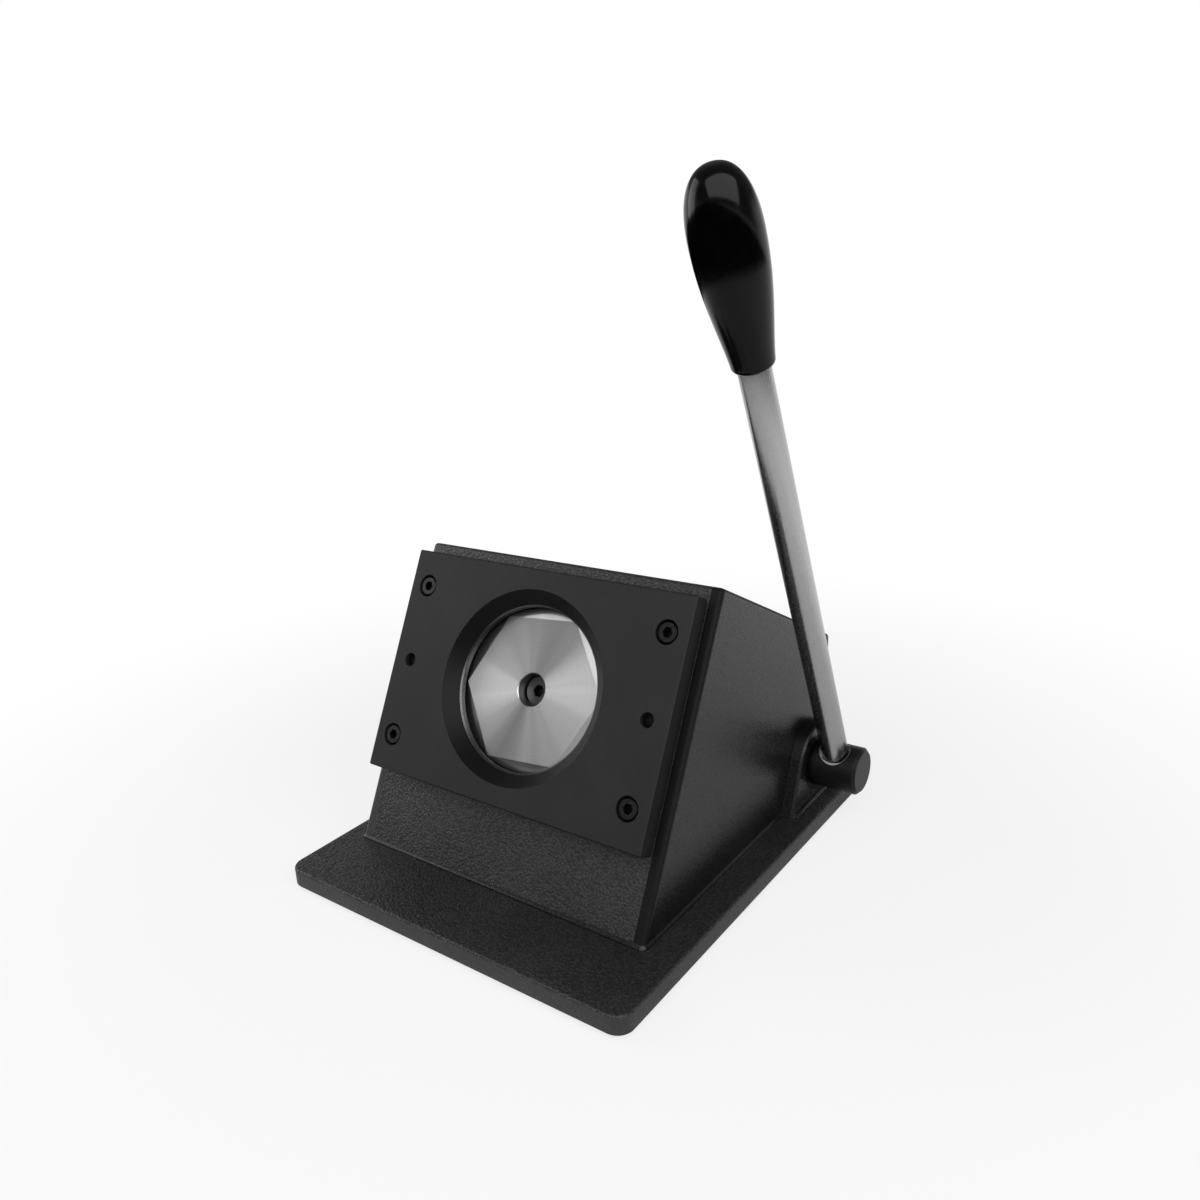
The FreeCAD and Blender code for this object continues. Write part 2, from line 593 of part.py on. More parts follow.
def shaft_pieces():
    """Main shaft with its pedestals, bushes, collars, cam, key and set screws."""
    right_outer = HOUSING_RIGHT + PEDESTAL_THICKNESS
    left_outer = HOUSING_LEFT - PEDESTAL_THICKNESS
    cam_x = (PRESS_X - CAM_WIDTH / 2 - CAM_HUB_LENGTH, PRESS_X + CAM_WIDTH / 2)
    shaft = along_x(SHAFT_RADIUS, (SHAFT_LEFT_END, SHAFT_END))
    ends = outer_edges(shaft, SHAFT_END, "X") + outer_edges(shaft, SHAFT_LEFT_END, "X")
    shaft = shaft.makeChamfer(SHAFT_CHAMFER, ends).cut(key_block(cam_x, 0.0))
    shaft = cut_all(shaft, rod_hole())

    cam = cam_piece(cam_x)
    collars = []
    screws = []
    collar_starts = (INNER_LEFT + COLLAR_SIDE_GAP, INNER_RIGHT - COLLAR_SIDE_GAP - COLLAR_WIDTH)
    set_holes = []
    for start in collar_starts:
        collar = along_x(COLLAR_RADIUS, (start, start + COLLAR_WIDTH))
        collars.append(collar.cut(along_x(SHAFT_RADIUS + PRESS_GAP, (-FAR, FAR))))
        set_holes.append((start + COLLAR_WIDTH / 2, COLLAR_RADIUS))
    set_holes.append(((cam_x[0] + PRESS_X - CAM_WIDTH / 2) / 2, CAM_HUB_RADIUS))
    for x, top in set_holes:
        seat = Vector(x, SHAFT_Y, SHAFT_Z + top)
        floor = Vector(x, SHAFT_Y, SHAFT_Z + SHAFT_RADIUS)
        drill = bar(M5.shank / 2 + THREAD_GAP, floor - N_AXIS * SHAFT_RADIUS, seat + N_AXIS)
        collars = [collar.cut(drill) for collar in collars]
        cam = cam.cut(drill)
        screws.append(stand(set_screw(M5, top - SHAFT_RADIUS - PRESS_GAP), seat, N_AXIS))
    return {
        "main_shaft": shaft,
        "right_pedestal": pedestal(HOUSING_RIGHT, 1),
        "left_pedestal": pedestal(HOUSING_LEFT, -1),
        "right_bush": shaft_bush((INNER_RIGHT, right_outer)),
        "left_bush": shaft_bush((left_outer, INNER_LEFT)),
        "cam": cam,
        "cam_key": key_block(cam_x, 0.0),
        "shaft_collars": Part.makeCompound(collars),
        "set_screws": Part.makeCompound(screws),
    }


def on_lever(reach):
    """Point on the lever's axis, at a distance from the shaft's axis."""
    lean = math.radians(LEVER_LEAN)
    return Vector(LEVER_X, SHAFT_Y - reach * math.sin(lean), SHAFT_Z + reach * math.cos(lean))


def rod_hole():
    """Cross hole for the rod, and the chamfer at its mouth."""
    mouth = ROD_DIAMETER / 2 + ROD_HOLE_CHAMFER
    rise = SHAFT_RADIUS - math.sqrt(SHAFT_RADIUS ** 2 - (ROD_DIAMETER / 2) ** 2)
    low = SHAFT_RADIUS - rise - ROD_HOLE_CHAMFER / 2
    return [
        bar(ROD_DIAMETER / 2 + PRESS_GAP, on_lever(-ROD_BELOW_AXIS), on_lever(2 * SHAFT_RADIUS)),
        cone(ROD_DIAMETER / 2, mouth, on_lever(low), on_lever(low + ROD_HOLE_CHAMFER)),
        bar(mouth, on_lever(low + ROD_HOLE_CHAMFER), on_lever(2 * SHAFT_RADIUS)),
    ]


def grip_radius_points():
    """Points (radius, reach) up the grip.

    From the neck the radius swells as a power of a sine. The top is a dome on a rounded ellipse:
    radius and height are cosine and sine to the power 2 / GRIP_DOME_POWER.
    """
    swell_start = GRIP_START + GRIP_NECK_ROUND
    dome_start = GRIP_START + GRIP_LENGTH - GRIP_DOME_LENGTH
    widest = GRIP_DIAMETER / 2
    neck = GRIP_NECK_DIAMETER / 2
    points = []
    for step in range(GRIP_SWELL_POINTS):
        share = step / GRIP_SWELL_POINTS
        swell = math.sin(share * math.pi / 2) ** GRIP_SWELL_POWER
        points.append((neck + (widest - neck) * swell, swell_start + (dome_start - swell_start) * share))
    for step in range(GRIP_DOME_POINTS + 1):
        turn = math.pi / 2 * step / GRIP_DOME_POINTS
        narrow = max(math.cos(turn), 0.0) ** (2 / GRIP_DOME_POWER)
        rise = math.sin(turn) ** (2 / GRIP_DOME_POWER)
        points.append((widest * narrow, dome_start + GRIP_DOME_LENGTH * rise))
    points[-1] = (0.0, dome_start + GRIP_DOME_LENGTH)
    return points


def lever_pieces():
    """Lever rod and its grip."""
    rod_end = GRIP_START + ROD_IN_GRIP
    lean = math.radians(LEVER_LEAN)
    axis = Vector(0, -math.sin(lean), math.cos(lean))

    def off_axis(radius, reach):
        return on_lever(reach) + U_AXIS * radius

    curve_points = [off_axis(radius, reach) for radius, reach in grip_radius_points()]
    swelling = Part.BSplineCurve()
    swelling.interpolate(Points=curve_points, InitialTangent=axis, FinalTangent=-U_AXIS)
    neck = GRIP_NECK_DIAMETER / 2
    round_turn = GRIP_NECK_ROUND * (1 - math.sqrt(0.5))
    neck_round = Part.Arc(
        off_axis(neck - GRIP_NECK_ROUND, GRIP_START),
        off_axis(neck - round_turn, GRIP_START + round_turn),
        off_axis(neck, GRIP_START + GRIP_NECK_ROUND),
    )
    grip_end = on_lever(GRIP_START + GRIP_LENGTH)
    outline = Part.Wire([
        Part.LineSegment(on_lever(GRIP_START), off_axis(neck - GRIP_NECK_ROUND, GRIP_START)).toShape(),
        neck_round.toShape(),
        swelling.toShape(),
        Part.LineSegment(grip_end, on_lever(GRIP_START)).toShape(),
    ])
    grip = Part.Face(outline).revolve(on_lever(0.0), axis, 360)
    grip = grip.cut(bar(ROD_DIAMETER / 2 + PRESS_GAP, on_lever(0.0), on_lever(rod_end)))
    return {
        "lever_rod": bar(ROD_DIAMETER / 2, on_lever(-ROD_BELOW_AXIS), on_lever(rod_end)),
        "grip": grip,
    }


def die_pieces():
    """Die plate, cutting ring, screws, dowels, spacers and backing plate."""
    half_u = DIE_WIDTH / 2
    half_v = DIE_HEIGHT / 2
    cut_radius = CUT_DIAMETER / 2
    land_top = DIE_BACK + DIE_LAND
    ring_top = land_top + DIE_RING_LIP
    cone_slope = DIE_CONE_RUN / (DIE_FACE - land_top)
    mouth = cone(
        cut_radius,
        cut_radius + DIE_CONE_RUN + cone_slope * DIE_THICKNESS,
        Vector(0, 0, land_top),
        Vector(0, 0, DIE_FACE + DIE_THICKNESS),
    )
    ring_radius = cut_radius + DIE_RING_WALL
    plate = block((-half_u, half_u), (-half_v, half_v), (DIE_BACK, DIE_FACE))
    plate = plate.makeChamfer(DIE_EDGE_CHAMFER, plate.Edges)
    plate = plate.cut(mouth).cut(along_n(ring_radius + PRESS_GAP, (-FAR, ring_top)))
    ring = along_n(ring_radius, (DIE_BACK, ring_top)).cut(along_n(cut_radius, (-FAR, FAR))).cut(mouth)

    backing_half = (INNER_RIGHT - INNER_LEFT) / 2 - BACKING_SIDE_GAP
    backing = block((-backing_half, backing_half), (-half_v, half_v), (BACKING_BACK, BACKING_FRONT))
    backing = backing.cut(along_n(cut_radius + BACKING_OPENING_GAP, (-FAR, FAR)))
    seat_n = DIE_FACE - DIE_SCREW_SINK
    shank = seat_n - BACKING_BACK - SCREW_END_ROOM
    screws = []
    spacers = []
    dowels = []
    for spot in DIE_SCREW_SPOTS:
        plate = plate.cut(along_n(M5.shank / 2 + BOLT_GAP, (-FAR, FAR), spot))
        plate = plate.cut(along_n(DIE_SCREW_BORE / 2, (seat_n, FAR), spot))
        backing = backing.cut(along_n(M5.shank / 2 + THREAD_GAP, (-FAR, FAR), spot))
        spacer = along_n(SPACER_DIAMETER / 2, (0.0, DIE_BACK), spot)
        spacers.append(spacer.cut(along_n(M5.shank / 2 + BOLT_GAP, (-FAR, FAR), spot)))
        screws.append(stand(cap_screw(M5, shank), Vector(spot[0], spot[1], seat_n), N_AXIS))
    for spot in DOWEL_SPOTS:
        hole = along_n(DOWEL_DIAMETER / 2 + PRESS_GAP, (-FAR, FAR), spot)
        plate = plate.cut(hole)
        backing = backing.cut(hole)
        dowels.append(along_n(DOWEL_DIAMETER / 2, (BACKING_BACK, DIE_FACE - DOWEL_SINK), spot))
    for spot in GUIDE_SCREW_SPOTS:
        tapped = along_n(M5.shank / 2 + THREAD_GAP, (BACKING_BACK, BACKING_FRONT), spot)
        backing = backing.cut(tapped)
    return {
        "die_plate": plate,
        "die_ring": ring,
        "die_screws": Part.makeCompound(screws),
        "spacer_washers": Part.makeCompound(spacers),
        "dowel_pins": Part.makeCompound(dowels),
        "backing_plate": backing,
    }


def punch_pieces():
    """Punch with its raised six-sided face, and the screw that holds it to the ram.

    Each facet falls away from one side of the face to the rim, so the edge cuts bit by bit.
    """
    radius = CUT_DIAMETER / 2 - CUT_CLEARANCE
    punch = along_n(radius, (PUNCH_BACK, PUNCH_PROUD))
    flat = radius * math.cos(math.pi / PUNCH_FACES)
    fall = PUNCH_FACET_DROP / (radius - flat)
    for step in range(PUNCH_FACES):
        middle = math.radians(PUNCH_FACE_TURN + 360 / PUNCH_FACES * (step + 0.5))
        outward = Vector(math.cos(middle), math.sin(middle), 0)
        sideways = Vector(-math.sin(middle), math.cos(middle), 0)
        corner = outward * flat + N_AXIS * PUNCH_PROUD - sideways * radius
        wedge = [
            corner,
            corner + outward * radius - N_AXIS * fall * radius,
            corner + outward * radius + N_AXIS * radius,
            corner + N_AXIS * radius,
        ]
        punch = punch.cut(prism(wedge, sideways * 2 * radius))
    seat_n = PUNCH_PROUD - PUNCH_SCREW_SINK
    punch = punch.cut(along_n(PUNCH_SCREW_BORE / 2, (seat_n, FAR)))
    punch = punch.cut(along_n(M8.shank / 2 + BOLT_GAP, (-FAR, FAR)))
    spigot = (PUNCH_BACK, PUNCH_BACK + RAM_SPIGOT_LENGTH + PRESS_GAP)
    punch = punch.cut(along_n(RAM_SPIGOT_DIAMETER / 2 + PRESS_GAP, spigot))
    length = seat_n - PUNCH_BACK + 2 * M8.shank
    return {"punch": punch, "punch_screw": stand(cap_screw(M8, length), Vector(0, 0, seat_n), N_AXIS)}


def guide_pieces():
    """Guide sleeve with its bush and screws."""
    bore = RAM_RADIUS + RUNNING_GAP
    bush_radius = bore + GUIDE_BUSH_WALL
    tube_radius = bush_radius + GUIDE_TUBE_WALL
    flange_radius = DIE_HEIGHT / 2 - GUIDE_FLANGE_INSET
    sleeve = along_n(flange_radius, (FLANGE_BACK, BACKING_BACK)).fuse(
        along_n(tube_radius, (GUIDE_END, BACKING_BACK))
    )
    sleeve = sleeve.cut(along_n(bush_radius + PRESS_GAP, (-FAR, FAR)))
    bush = along_n(bush_radius, (GUIDE_END, BACKING_BACK)).cut(along_n(bore, (-FAR, FAR)))
    screws = []
    for spot in GUIDE_SCREW_SPOTS:
        sleeve = sleeve.cut(along_n(M5.shank / 2 + BOLT_GAP, (-FAR, FAR), spot))
        length = GUIDE_FLANGE_THICKNESS + BACKING_THICKNESS - SCREW_END_ROOM
        screws.append(stand(cap_screw(M5, length), Vector(spot[0], spot[1], FLANGE_BACK), -N_AXIS))

    level = Vector(0, 0, GUIDE_KEY_N)
    dog_tip = level + V_AXIS * (RAM_RADIUS - GUIDE_KEY_DEPTH + GUIDE_KEY_GAP)
    shoulder = level + V_AXIS * (bush_radius + PRESS_GAP)
    outside = level + V_AXIS * tube_radius
    sleeve = sleeve.cut(bar(M5.shank / 2 + THREAD_GAP, shoulder - V_AXIS, outside + V_AXIS))
    bush = bush.cut(bar(GUIDE_KEY_DIAMETER / 2 + PRESS_GAP, level, outside))
    dog = bar(GUIDE_KEY_DIAMETER / 2, dog_tip, shoulder)
    body = stand(set_screw(M5, (outside - shoulder).Length), outside, V_AXIS)
    return {
        "guide_sleeve": sleeve,
        "guide_bush": bush,
        "guide_sleeve_screws": Part.makeCompound(screws),
        "guide_screw": body.fuse(dog),
    }


def ram_pieces():
    """Ram with its forked tail, roller, pin and clips.

    The tail is hollowed where it would come too close to the cam's hub.
    """
    spigot_end = PUNCH_BACK + RAM_SPIGOT_LENGTH
    ram = along_n(RAM_RADIUS, (RAM_TAIL, PUNCH_BACK))
    ram = ram.fuse(along_n(RAM_SPIGOT_DIAMETER / 2, (PUNCH_BACK, spigot_end)))
    ram = ram.fuse(along_n(RAM_RADIUS + RAM_SHOULDER_RISE, (SHOULDER_BACK, SHOULDER_FRONT)))
    half_fork = ROLLER_WIDTH / 2 + ROLLER_SIDE_GAP
    ram = ram.cut(block((-half_fork, half_fork), (-FAR, FAR), (-FAR, FORK_TOP)))
    ram = ram.cut(along_n(M8.shank / 2 + THREAD_GAP, (PUNCH_BACK - 3 * M8.shank, FAR)))
    shaft_left = Vector(-FAR, SHAFT_IN_PRESS.y, SHAFT_IN_PRESS.z)
    ram = ram.cut(bar(CAM_HUB_RADIUS + RAM_HUB_GAP, shaft_left, shaft_left + U_AXIS * 2 * FAR))
    half_key = GUIDE_KEY_DIAMETER / 2 + GUIDE_KEY_GAP
    key_range = (GUIDE_KEY_N - STROKE - half_key - GUIDE_KEY_GAP, GUIDE_KEY_N + half_key + GUIDE_KEY_GAP)
    ram = ram.cut(block((-half_key, half_key), (RAM_RADIUS - GUIDE_KEY_DEPTH, FAR), key_range))

    pin_radius = ROLLER_PIN_DIAMETER / 2
    half_pin = RAM_RADIUS + ROLLER_PIN_OVERHANG

    def on_pin(radius, u_range):
        return bar(radius, Vector(u_range[0], 0, ROLLER_N), Vector(u_range[1], 0, ROLLER_N))

    ram = ram.cut(on_pin(pin_radius + PRESS_GAP, (-FAR, FAR)))
    half_roller = ROLLER_WIDTH / 2
    roller = on_pin(ROLLER_RADIUS, (-half_roller, half_roller))
    rims = outer_edges(roller, half_roller, "X") + outer_edges(roller, -half_roller, "X")
    roller = roller.makeChamfer(ROLLER_CHAMFER, rims)
    roller = roller.cut(on_pin(pin_radius + RUNNING_GAP, (-FAR, FAR)))
    pin = on_pin(pin_radius, (-half_pin, half_pin))
    groove_radius = pin_radius - CLIP_GROOVE_DEPTH
    clip_start = RAM_RADIUS + PRESS_GAP
    clips = []
    for side in (-1, 1):
        span = sorted((side * clip_start, side * (clip_start + CLIP_THICKNESS)))
        ring = on_pin(groove_radius + CLIP_WALL, span).cut(on_pin(groove_radius + PRESS_GAP, span))
        mouth = block(span, (-groove_radius, groove_radius), (-FAR, ROLLER_N))
        clips.append(ring.cut(mouth))
        pin = pin.cut(on_pin(pin_radius, span).cut(on_pin(groove_radius, span)))
    return {
        "ram": ram,
        "cam_roller": roller,
        "roller_pin": pin,
        "roller_pin_clips": Part.makeCompound(clips),
    }


def arc_at_corner(start, corner, end):
    """Arc from start to end that touches both legs of a corner."""
    middle = (start + end) * 0.5
    cosine = (middle - start).Length / (corner - start).Length
    return Part.Arc(start, corner + (middle - corner) * (1 / (1 + cosine)), end).toShape()


def biarc(start, start_way, end, end_way):
    """Two arcs that run smoothly into each other, from one point and direction to another."""
    chord = end - start
    both = start_way + end_way
    square = 2 * (1 - start_way.dot(end_way))
    linear = 2 * chord.dot(both)
    reach = (math.sqrt(linear ** 2 + 4 * square * chord.dot(chord)) - linear) / (2 * square)
    first = start + start_way * reach
    second = end - end_way * reach
    joint = (first + second) * 0.5
    return [arc_at_corner(start, first, joint), arc_at_corner(joint, second, end)]


def spring_piece():
    """Compression spring between the guide sleeve and the ram's shoulder.

    One closed turn at each end has a steady small gap, and the turns between share what is left
    of the height.
    """
    low = SHOULDER_FRONT + SPRING_WIRE / 2 + SPRING_SEAT_GAP
    high = GUIDE_END - SPRING_WIRE / 2 - SPRING_SEAT_GAP
    end_rise = SPRING_WIRE + SPRING_END_GAP
    active_rise = (high - low - 2 * end_rise) / SPRING_ACTIVE_TURNS
    quarters = 4 * (SPRING_ACTIVE_TURNS + 2)

    def height(turns):
        active = min(max(turns - 1, 0), SPRING_ACTIVE_TURNS)
        return low + active * active_rise + (turns - active) * end_rise

    def place(turns):
        angle = 2 * math.pi * turns
        return Vector(SPRING_RADIUS * math.cos(angle), SPRING_RADIUS * math.sin(angle), height(turns))

    def way(turns):
        angle = 2 * math.pi * turns
        rise = (height(turns + SPRING_TANGENT_STEP) - height(turns - SPRING_TANGENT_STEP)) / (
            2 * SPRING_TANGENT_STEP
        )
        run = 2 * math.pi * SPRING_RADIUS
        return Vector(-run * math.sin(angle), run * math.cos(angle), rise).normalize()

    edges = []
    for step in range(quarters):
        edges += biarc(place(step / 4), way(step / 4), place((step + 1) / 4), way((step + 1) / 4))
    path = Part.Wire(edges)
    section = Part.Wire(Part.Circle(place(0), way(0), SPRING_WIRE / 2).toShape())
    shell = Part.BRepOffsetAPI.MakePipeShell(path)
    shell.add(section)
    shell.build()
    shell.makeSolid()
    points = [edge.valueAt(edge.FirstParameter) for edge in edges]
    half_turn = len(points) // (quarters // 2)
    gaps = [
        (points[other] - points[step]).Length - SPRING_WIRE
        for step in range(len(points))
        for other in range(step + half_turn, len(points))
    ]
    print("return_spring least gap to itself:", round(min(gaps), 3))
    return shell.shape()


def write(name, shape):
    """Check one piece and write it to its own file."""
    sound = shape.isValid() and all(solid.Volume > 0 for solid in shape.Solids)
    print(name, "solids", len(shape.Solids), "volume", round(shape.Volume, 1), "sound", sound)
    shape.exportStep(os.path.join("parts", name + ".step"))


def main():
    """Build every piece and write it."""
    os.makedirs("parts", exist_ok=True)
    pieces = {}
    pieces.update(base_pieces())
    pieces.update(housing_pieces())
    pieces.update(shaft_pieces())
    pieces.update(lever_pieces())
    press = {}
    press.update(die_pieces())
    press.update(punch_pieces())
    press.update(guide_pieces())
    press.update(ram_pieces())
    press["return_spring"] = spring_piece()
    pieces.update({name: in_press(shape) for name, shape in press.items()})
    for name, shape in pieces.items():
        write(name, shape)


main()
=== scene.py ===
"""Looks of a desktop stand cutter from a button badge kit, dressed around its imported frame.

The frame is in metres, with X to the right, where the lever is, Y to the back and Z up. Sizes in
this file are millimetres, as on a drawing, and MM turns them into metres. What the frame already
knows, such as a joint's axis or the reach of a node, is read from it.
"""
import json
import logging
import math
from dataclasses import dataclass
from enum import Enum
from typing import Any, Optional

import bmesh
import bpy
import numpy as np
from mathutils import Matrix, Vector
from numpy.typing import NDArray


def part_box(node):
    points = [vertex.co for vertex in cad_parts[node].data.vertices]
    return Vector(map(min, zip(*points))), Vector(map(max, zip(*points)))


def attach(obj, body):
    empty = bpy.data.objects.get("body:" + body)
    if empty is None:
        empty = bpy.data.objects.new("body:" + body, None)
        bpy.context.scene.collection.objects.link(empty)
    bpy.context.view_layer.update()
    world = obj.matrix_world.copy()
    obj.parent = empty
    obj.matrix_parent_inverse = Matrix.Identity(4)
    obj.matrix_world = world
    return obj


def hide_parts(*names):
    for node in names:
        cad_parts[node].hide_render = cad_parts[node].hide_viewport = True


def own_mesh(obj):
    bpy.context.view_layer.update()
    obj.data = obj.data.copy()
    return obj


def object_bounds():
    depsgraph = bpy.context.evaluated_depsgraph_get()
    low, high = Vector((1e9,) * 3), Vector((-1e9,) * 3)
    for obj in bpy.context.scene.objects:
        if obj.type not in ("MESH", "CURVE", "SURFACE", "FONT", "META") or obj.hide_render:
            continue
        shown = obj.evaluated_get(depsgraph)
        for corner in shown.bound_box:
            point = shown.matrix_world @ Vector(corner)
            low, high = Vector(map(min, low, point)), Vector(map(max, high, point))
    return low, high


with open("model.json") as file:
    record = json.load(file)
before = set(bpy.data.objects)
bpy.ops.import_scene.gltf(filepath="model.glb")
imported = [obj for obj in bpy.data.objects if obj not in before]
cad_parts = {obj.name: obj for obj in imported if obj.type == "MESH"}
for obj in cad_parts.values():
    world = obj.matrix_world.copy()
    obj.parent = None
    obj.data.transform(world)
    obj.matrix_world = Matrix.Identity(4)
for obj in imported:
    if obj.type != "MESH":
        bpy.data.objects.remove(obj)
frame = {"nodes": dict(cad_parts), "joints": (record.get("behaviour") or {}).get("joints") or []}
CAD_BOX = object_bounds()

Array = NDArray[np.float64]
Tree = bpy.types.NodeTree
Node = bpy.types.Node
Socket = bpy.types.NodeSocket
Piece = bpy.types.Object
Material = bpy.types.Material

MM = 0.001
ACROSS = np.array([1.0, 0.0, 0.0])
UPRIGHT = np.array([0.0, 0.0, 1.0])
WHITE = (1.0, 1.0, 1.0, 1.0)

# Face attribute for faces without grain or tool marks, and UV map of the turned face
PLAIN = "plain"
PUNCH_UV = "turned"
# Points nearer than this are one point
WELD_DISTANCE_M = 1e-7
# Width over which a zone of second finish fades in
ZONE_SOFT_MM = 0.2
# Samples that round edges, and samples that find crevices for painted shade
EDGE_SAMPLES = 4
PAINTED_SHADE_SAMPLES = 8
# Typical of polymers
PLASTIC_IOR = 1.5
# Levels between which most of a noise lies
NOISE_SPAN = (0.3, 0.7)
# Powder coat: lowest, highest and mean level of its grain, and the spread of its polish
GRAIN_LOW = 0.3
GRAIN_HIGH = 0.8
GRAIN_MEAN = 0.5
POLISH_SPREAD = 0.06
# Powder coat: widths of the warp and of the fine noise in grains, and the share of the fine noise
WARP_WIDTH = 1.6
FINE_WIDTH = 0.4
FINE_SHARE = 0.35
# Powder coat: levels of its clouds from fresh to rubbed coat
CLOUD_SPAN = (0.35, 0.75)
# Worked metal: levels of the marks from one tone to the other, and their share in the roughness
MARK_SPAN = (0.32, 0.68)
MARK_SHARE = 0.2
# Worked metal: openness at or below which painted shade has taken all the gleam of a crevice
PAINTED_SHADE_OPENNESS = 0.45
# Faced steel: painted fans of reflection round the disc, and the quarter turn from along its rings to
# across
PAINTED_FAN_SCALE = 2.1
ACROSS_RINGS = 0.25
# Plastic: levels of the haze in tone and in polish, and how much it dulls
HAZE_TONE_SPAN = (0.45, 0.8)
HAZE_POLISH_SPAN = (0.4, 0.8)
HAZE_DULLS = 1.6

log = logging.getLogger("stand_cutter")


class Body(Enum):
    """Bodies of the frame that a piece can ride on."""

    FRAME = "frame"
    LEVER = "lever"
    RAM = "ram"


class Slot(Enum):
    """Material slots of the record."""

    TEXTURED = "textured_black"
    SATIN = "satin_black"
    GROUND = "ground_steel"
    ROD = "plated_rod"
    GRIP = "grip_plastic"
    SPRING = "spring_steel"


class Grain(Enum):
    """How the fine marks of a metal lie: stretch of the pattern along X, Y and Z."""

    EVEN = (1.0, 1.0, 1.0)
    ALONG_X = (0.08, 1.0, 1.0)
    ALONG_Z = (1.0, 1.0, 0.06)


def linear(hex_colour: str) -> tuple[float, float, float, float]:
    """Turn an sRGB hex colour into linear light.

    Args:
        hex_colour: six hex digits after a hash mark.

    Returns:
        Red, green, blue and an alpha of one.
    """
    parts = np.array([int(hex_colour[start:start + 2], 16) for start in (1, 3, 5)]) / 255
    light = np.where(parts <= 0.04045, parts / 12.92, ((parts + 0.055) / 1.055) ** 2.4)
    return (float(light[0]), float(light[1]), float(light[2]), 1.0)


def fill(tree: Tree, node: Node, inputs: dict[Any, Any]) -> None:
    """Set or link inputs of a shader node.

    Args:
        tree: node tree that holds the node.
        node: node whose inputs are filled.
        inputs: for each input name or number, a value, or another node's output to link.
    """
    for key, value in inputs.items():
        if isinstance(value, Socket):
            tree.links.new(value, node.inputs[key])
        else:
            node.inputs[key].default_value = value


def add_node(tree: Tree, kind: str, inputs: dict[Any, Any], **settings: Any) -> Node:
    """Add one shader node with its settings, and fill or link its inputs.

    Args:
        tree: node tree that gets the node.
        kind: Blender's name for the kind of node.
        inputs: what its inputs are filled with.
        settings: properties of the node.

    Returns:
        The new node.
    """
    node = tree.nodes.new(kind)
    for key, value in settings.items():
        setattr(node, key, value)
    fill(tree, node, inputs)
    return node


def into_scene(name: str, data: bpy.types.ID) -> Piece:
    """Put a mesh, a lamp or a camera into the scene as a new object."""
    thing = bpy.data.objects.new(name, data)
    bpy.context.scene.collection.objects.link(thing)
    return thing


def fresh_material(name: str) -> tuple[Material, Node]:
    """Make a material with nodes, and return it with its surface shader."""
    made = bpy.data.materials.new(name)
    made.use_nodes = True
    return made, made.node_tree.nodes["Principled BSDF"]


def wear(node: str, material: Material) -> None:
    """Give a node of the frame its material."""
    mesh = frame["nodes"][node].data
    mesh.materials.clear()
    mesh.materials.append(material)
    log.info("node %s wears %s", node, material.name)


def mark_plain(piece: Piece, faces: NDArray[np.bool_]) -> None:
    """Mark the faces of a piece that lack the grain or the tool marks of the rest.

    Args:
        piece: piece to mark.
        faces: true for each plain face, in the order of its faces.
    """
    marks = piece.data.attributes.new(PLAIN, "FLOAT", "FACE")
    marks.data.foreach_set("value", faces.astype(np.float32))


def per_metre(size_mm: float) -> float:
    """Scale of a pattern whose features are this many millimetres wide."""
    return 1.0 / (size_mm * MM)


@dataclass(frozen=True)
class Zone:
    """Part of a node that shows a second finish."""

    colour: str
    roughness: float
    metallic: float
    specular: float

    def share(self, tree: Tree) -> Socket:
        """One inside the zone and zero outside it."""
        raise NotImplementedError

    def lay_over(self, tree: Tree, shader: Node) -> None:
        """Mix the zone's own tone and polish over what the shader already has.

        Args:
            tree: node tree of the material.
            shader: its surface shader, with the base colour linked.
        """
        inside = self.share(tree)
        colour = add_node(tree, "ShaderNodeMix", {
            "Factor": inside, 6: shader.inputs["Base Color"].links[0].from_socket, 7: linear(self.colour),
        }, data_type="RGBA")
        tree.links.new(colour.outputs[2], shader.inputs["Base Color"])
        own = {
            "Roughness": self.roughness, "Metallic": self.metallic, "Specular IOR Level": self.specular,
        }
        for name, value in own.items():
            socket = shader.inputs[name]
            before = socket.links[0].from_socket if socket.is_linked else socket.default_value
            mixed = add_node(tree, "ShaderNodeMix", {
                "Factor": inside, 2: before, 3: value,
            }, data_type="FLOAT")
            tree.links.new(mixed.outputs[0], socket)


@dataclass(frozen=True)
class RoundZone(Zone):
    """Inside of a round bar: the length of (point - place) x way is below the radius."""

    place: tuple[float, float, float]
    way: tuple[float, float, float]
    radius_mm: float

    def share(self, tree: Tree) -> Socket:
        """Fade from the radius outwards."""
        here = add_node(tree, "ShaderNodeTexCoord", {}).outputs["Object"]
        offset = add_node(tree, "ShaderNodeVectorMath", {0: here, 1: self.place}, operation="SUBTRACT")
        arm = add_node(tree, "ShaderNodeVectorMath", {
            0: offset.outputs["Vector"], 1: self.way,
        }, operation="CROSS_PRODUCT")
        distance = add_node(tree, "ShaderNodeVectorMath", {0: arm.outputs["Vector"]}, operation="LENGTH")
        return add_node(tree, "ShaderNodeMapRange", {
            "Value": distance.outputs["Value"],
            "From Min": (self.radius_mm + ZONE_SOFT_MM) * MM, "From Max": self.radius_mm * MM,
        }).outputs["Result"]


